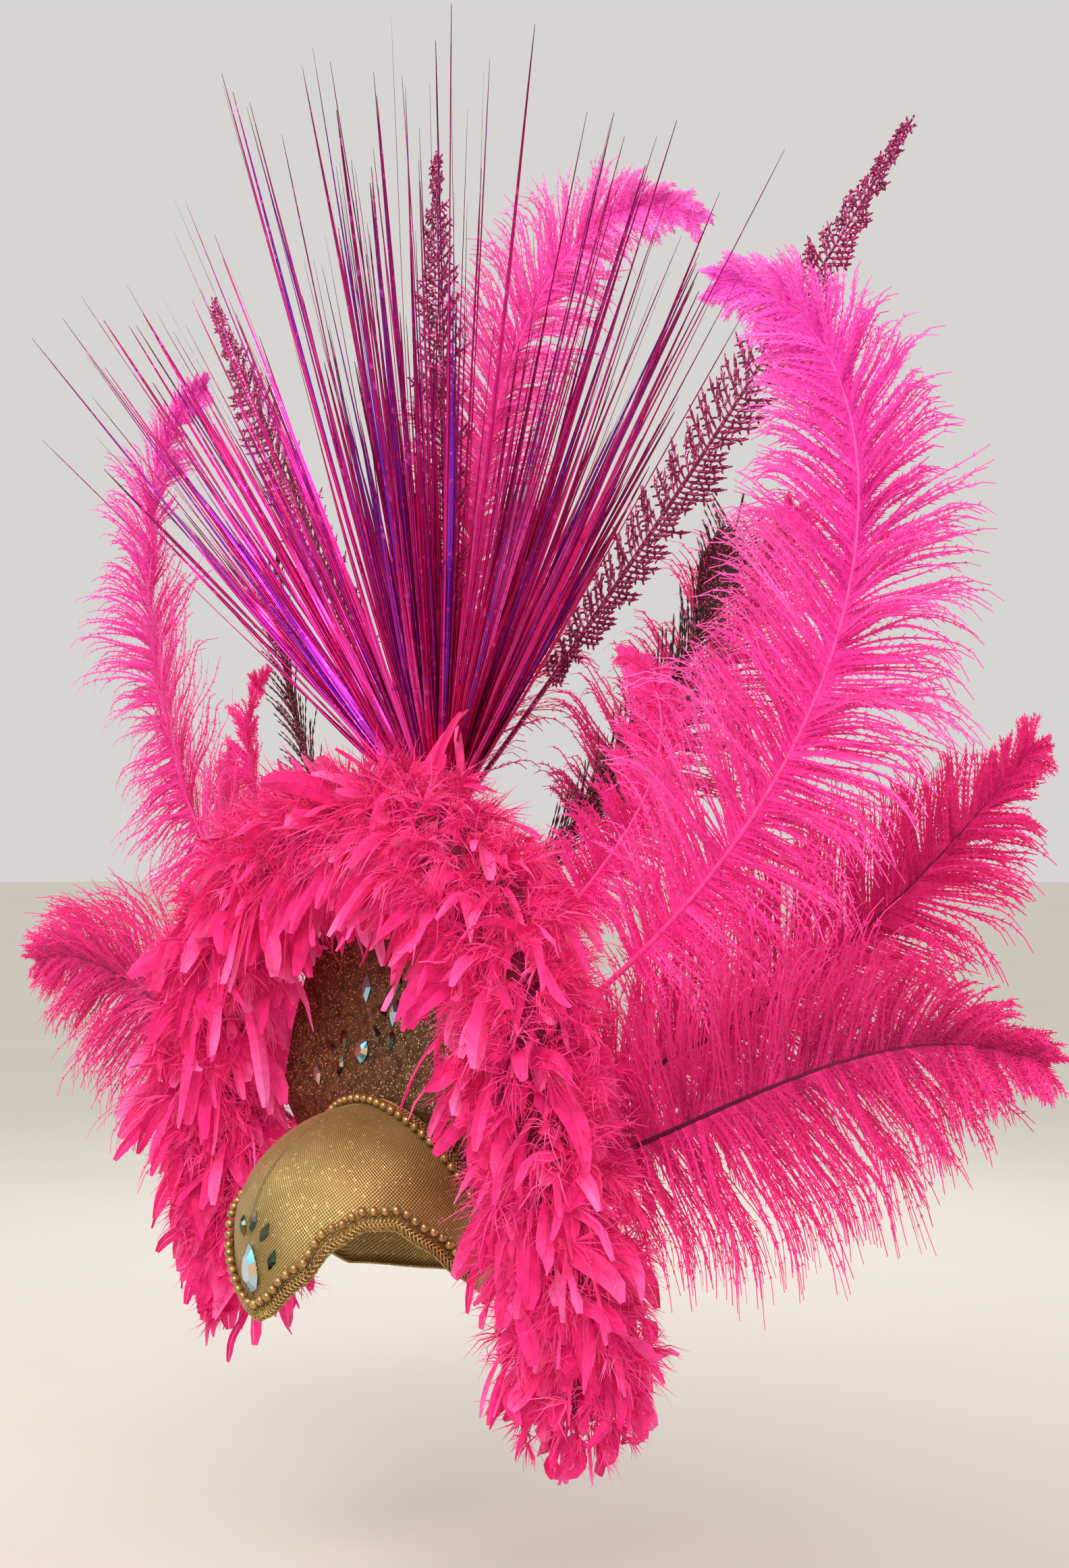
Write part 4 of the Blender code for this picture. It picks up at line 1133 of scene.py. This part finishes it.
def pearls(line, normals, rng):
    """Beads on a thread, each with its own slight tone."""
    spots = [p + n * (BEAD_RADIUS + SEAT) for p, n in zip(line, normals)]
    even = spread_evenly(spots, BEAD_PITCH)
    places = np.array([tuple(p) for p in even])
    verts, faces = ball()
    turns = np.tile(np.eye(3), (len(places), 1, 1))
    sizes = np.full((len(places), 3), BEAD_RADIUS * 1.08)
    tints = 0.75 + 0.25 * rng.random((len(places), 1)) * np.ones(3)
    beads = copies(verts, faces, places, turns, sizes, tints)
    thread = tubes(places[None], np.full((1, len(places)), 0.0006), 5, np.full((1, len(places), 3), 0.6))
    return join((beads, thread))


def trims(rng):
    """Plaits and pearls along the cap's lower edge, and along the foot of the plate."""
    gimp, pearl = plaited_gimp(), bronze_pearl()
    crest_rise = (BRAID_WIDTH * 0.5 + BRAID_THICK) * CREST_SLANT
    rows = (
        ("brow", brow_line, BRAID_WIDTH * 0.5, BRAID_WIDTH + GAP * 2.0 + BEAD_RADIUS * 1.1),
        ("crest", crest_line, crest_rise, crest_rise + (0.0071 + 0.0014) * CREST_SLANT),
    )
    for word, line_at, plait_rise, bead_rise in rows:
        made = plait(*on_cap(line_at(plait_rise)))
        put(f"{word}_plait", array_mesh(f"{word}_plait", *made), f"{word}_braid", gimp)
        made = pearls(*on_cap(line_at(bead_rise)), rng)
        put(f"{word}_beads", array_mesh(f"{word}_beads", *made), f"{word}_pearls", pearl)


def refinish(finishes):
    """Gives the solids that stay in view their own finish."""
    for sub in frame["record"]["subparts"]:
        node = frame["nodes"][sub["node"]]
        if not node.hide_render and sub["material_slot"] in finishes:
            for k in range(len(node.data.materials)):
                node.data.materials[k] = finishes[sub["material_slot"]]


# Stage


def lamp(name, size, power, place, target, colour):
    """Round soft light aimed at a point."""
    light = bpy.data.lights.new(name, "AREA")
    light.shape = "DISK"
    light.size = size
    light.energy = power
    light.color = linear(colour)
    holder = bpy.data.objects.new(name, light)
    bpy.context.scene.collection.objects.link(holder)
    holder.location = place
    holder.rotation_euler = (Vector(target) - Vector(place)).to_track_quat("-Z", "Y").to_euler()


def set_stage():
    """Pale floor, soft studio light and the photograph's camera."""
    scene = bpy.context.scene
    world = bpy.data.worlds.new("studio")
    world.use_nodes = True
    world.node_tree.nodes["Background"].inputs[0].default_value = rgba("#EDEBE8")
    world.node_tree.nodes["Background"].inputs[1].default_value = 0.80
    scene.world = world
    scene.view_settings.view_transform = "Standard"
    bpy.ops.mesh.primitive_circle_add(vertices=96, radius=14.0, fill_type="NGON", location=(0.0, 0.0, 0.0))
    floor = bpy.context.object
    floor.name = "floor"
    floor.data.transform(Matrix.Translation((0.0, 0.0, FLOOR_LEVEL)))
    floor.data.materials.append(painted_floor())
    lamp("key", 1.1, 24.0, (0.5, -1.7, 1.7), (0.0, 0.0, 0.2), "#FFF6EC")
    lamp("rim", 1.2, 22.0, (-1.3, 1.4, 1.4), (0.0, 0.1, 0.3), "#FFFFFF")
    sun = bpy.data.lights.new("daylight", "SUN")
    sun.energy = 1.5
    sun.angle = math.radians(50.0)
    sun.color = linear("#FFFAF4")
    holder = bpy.data.objects.new("daylight", sun)
    scene.collection.objects.link(holder)
    holder.rotation_euler = Vector((-0.9, 0.75, -1.0)).to_track_quat("-Z", "Y").to_euler()
    azimuth = math.radians(VIEW_AZIMUTH)
    camera = bpy.data.cameras.new("camera")
    camera.sensor_width = 36.0
    camera.lens = 36.0 * VIEW_DISTANCE / (FRAME_HEIGHT_PIXELS * METRES_PER_PIXEL)
    holder = bpy.data.objects.new("camera", camera)
    scene.collection.objects.link(holder)
    back = Vector((math.sin(azimuth), -math.cos(azimuth), 0.0))
    holder.location = Vector(VIEW_TARGET) + back * VIEW_DISTANCE
    holder.rotation_euler = (-back).to_track_quat("-Z", "Y").to_euler()
    scene.camera = holder


# The object


def plumes():
    """Every ostrich plume, in pairs and then the one at the centre."""
    barbs = dyed_barbs("dyed_ostrich_flues", 0.25, 0.62, 3.0)
    seed = 100
    for row in PLUMES:
        for side, word in ((-1, "left"), (1, "right")):
            seed += 1
            name = f"{row[0]}_{word}"
            made = ostrich(row, side, np.random.default_rng(seed))
            put(name + "_flues", array_mesh(name, *made), name, barbs)
    made = ostrich(CENTRE_PLUME, 1, np.random.default_rng(150))
    put("centre_plume_flues", array_mesh("centre_plume", *made), "centre_plume", barbs)


def glittered():
    """Peacock herls and fern fronds under glitter."""
    herls = glitter_coat("glittered_peacock_herls", "#2C2A22", "#5A2034", "#E86A8A", 0.9)
    for side, word in ((-1, "left"), (1, "right")):
        name = f"glitter_feather_{word}"
        made = herl_feather(GLITTER, side, np.random.default_rng(160 + side))
        put(name + "_herls", array_mesh(name, *made), name, herls)
    frond = glitter_coat("glittered_fern_plastic", "#8A1A58", "#D03C8A", "#FF9CD4", 1.1)
    for k, (name, side, lean, yaw, length) in enumerate(FERNS):
        made = fern(side, lean, yaw, length, np.random.default_rng(170 + k))
        put(name + "_fronds", array_mesh(name, *made), name, frond)


def sprays():
    """Three bundles of film strands, bound side by side."""
    foil = holographic_foil()
    apart = 2.0 * SPRAY_HEAD_RADIUS + SEAT
    for k, word in enumerate(("left", "centre", "right")):
        name = f"spray_{word}"
        across, lean = (k - 1) * apart, (k - 1) * SPRAY_LEAN
        made = join((foil_spray(across, lean, np.random.default_rng(180 + k)), binding(across)))
        put(name + "_strands", array_mesh(name, *made), name, foil)


def boa():
    """Core, blades and down, all in one dye."""
    down = dyed_barbs("dyed_boa_flats_and_down", 0.35, 0.7, 6.0)
    made = join((boa_core(), boa_blades(np.random.default_rng(190))))
    put("boa_blades", array_mesh("boa_blades", *made), "boa", down)
    made = boa_down(np.random.default_rng(191))
    put("boa_fluff", array_mesh("boa_fluff", *made), "boa", down)


def plate_and_stones():
    """Finishes of the plate, the rail and the stones."""
    rainbow = ((0.2, "#7A4FE0"), (0.38, "#E8F4FF"), (0.5, "#5AC8F0"), (0.62, "#FFE9A8"), (0.8, "#FF7AC0"))
    vitrail = ((0.2, "#2A1040"), (0.38, "#1F6A48"), (0.5, "#1A1C24"), (0.62, "#8A6A1C"), (0.8, "#5A1E6A"))
    refinish(
        {
            "plate_cloth": glitter_plate_cloth(),
            "board": covered_board(),
            "crystal": coated_crystal("rainbow_coated_crystal", rainbow, 5.0, 0.35),
            "vitrail": coated_crystal("vitrail_coated_crystal", vitrail, 4.0, 0.6),
        }
    )


def build():
    bpy.ops.object.select_all(action="DESELECT")
    put("cap_cloth", cap_mesh(), "skull_cap", gold_mesh_cloth())
    trims(np.random.default_rng(11))
    plumes()
    glittered()
    sprays()
    boa()
    plate_and_stones()


build()
set_stage()
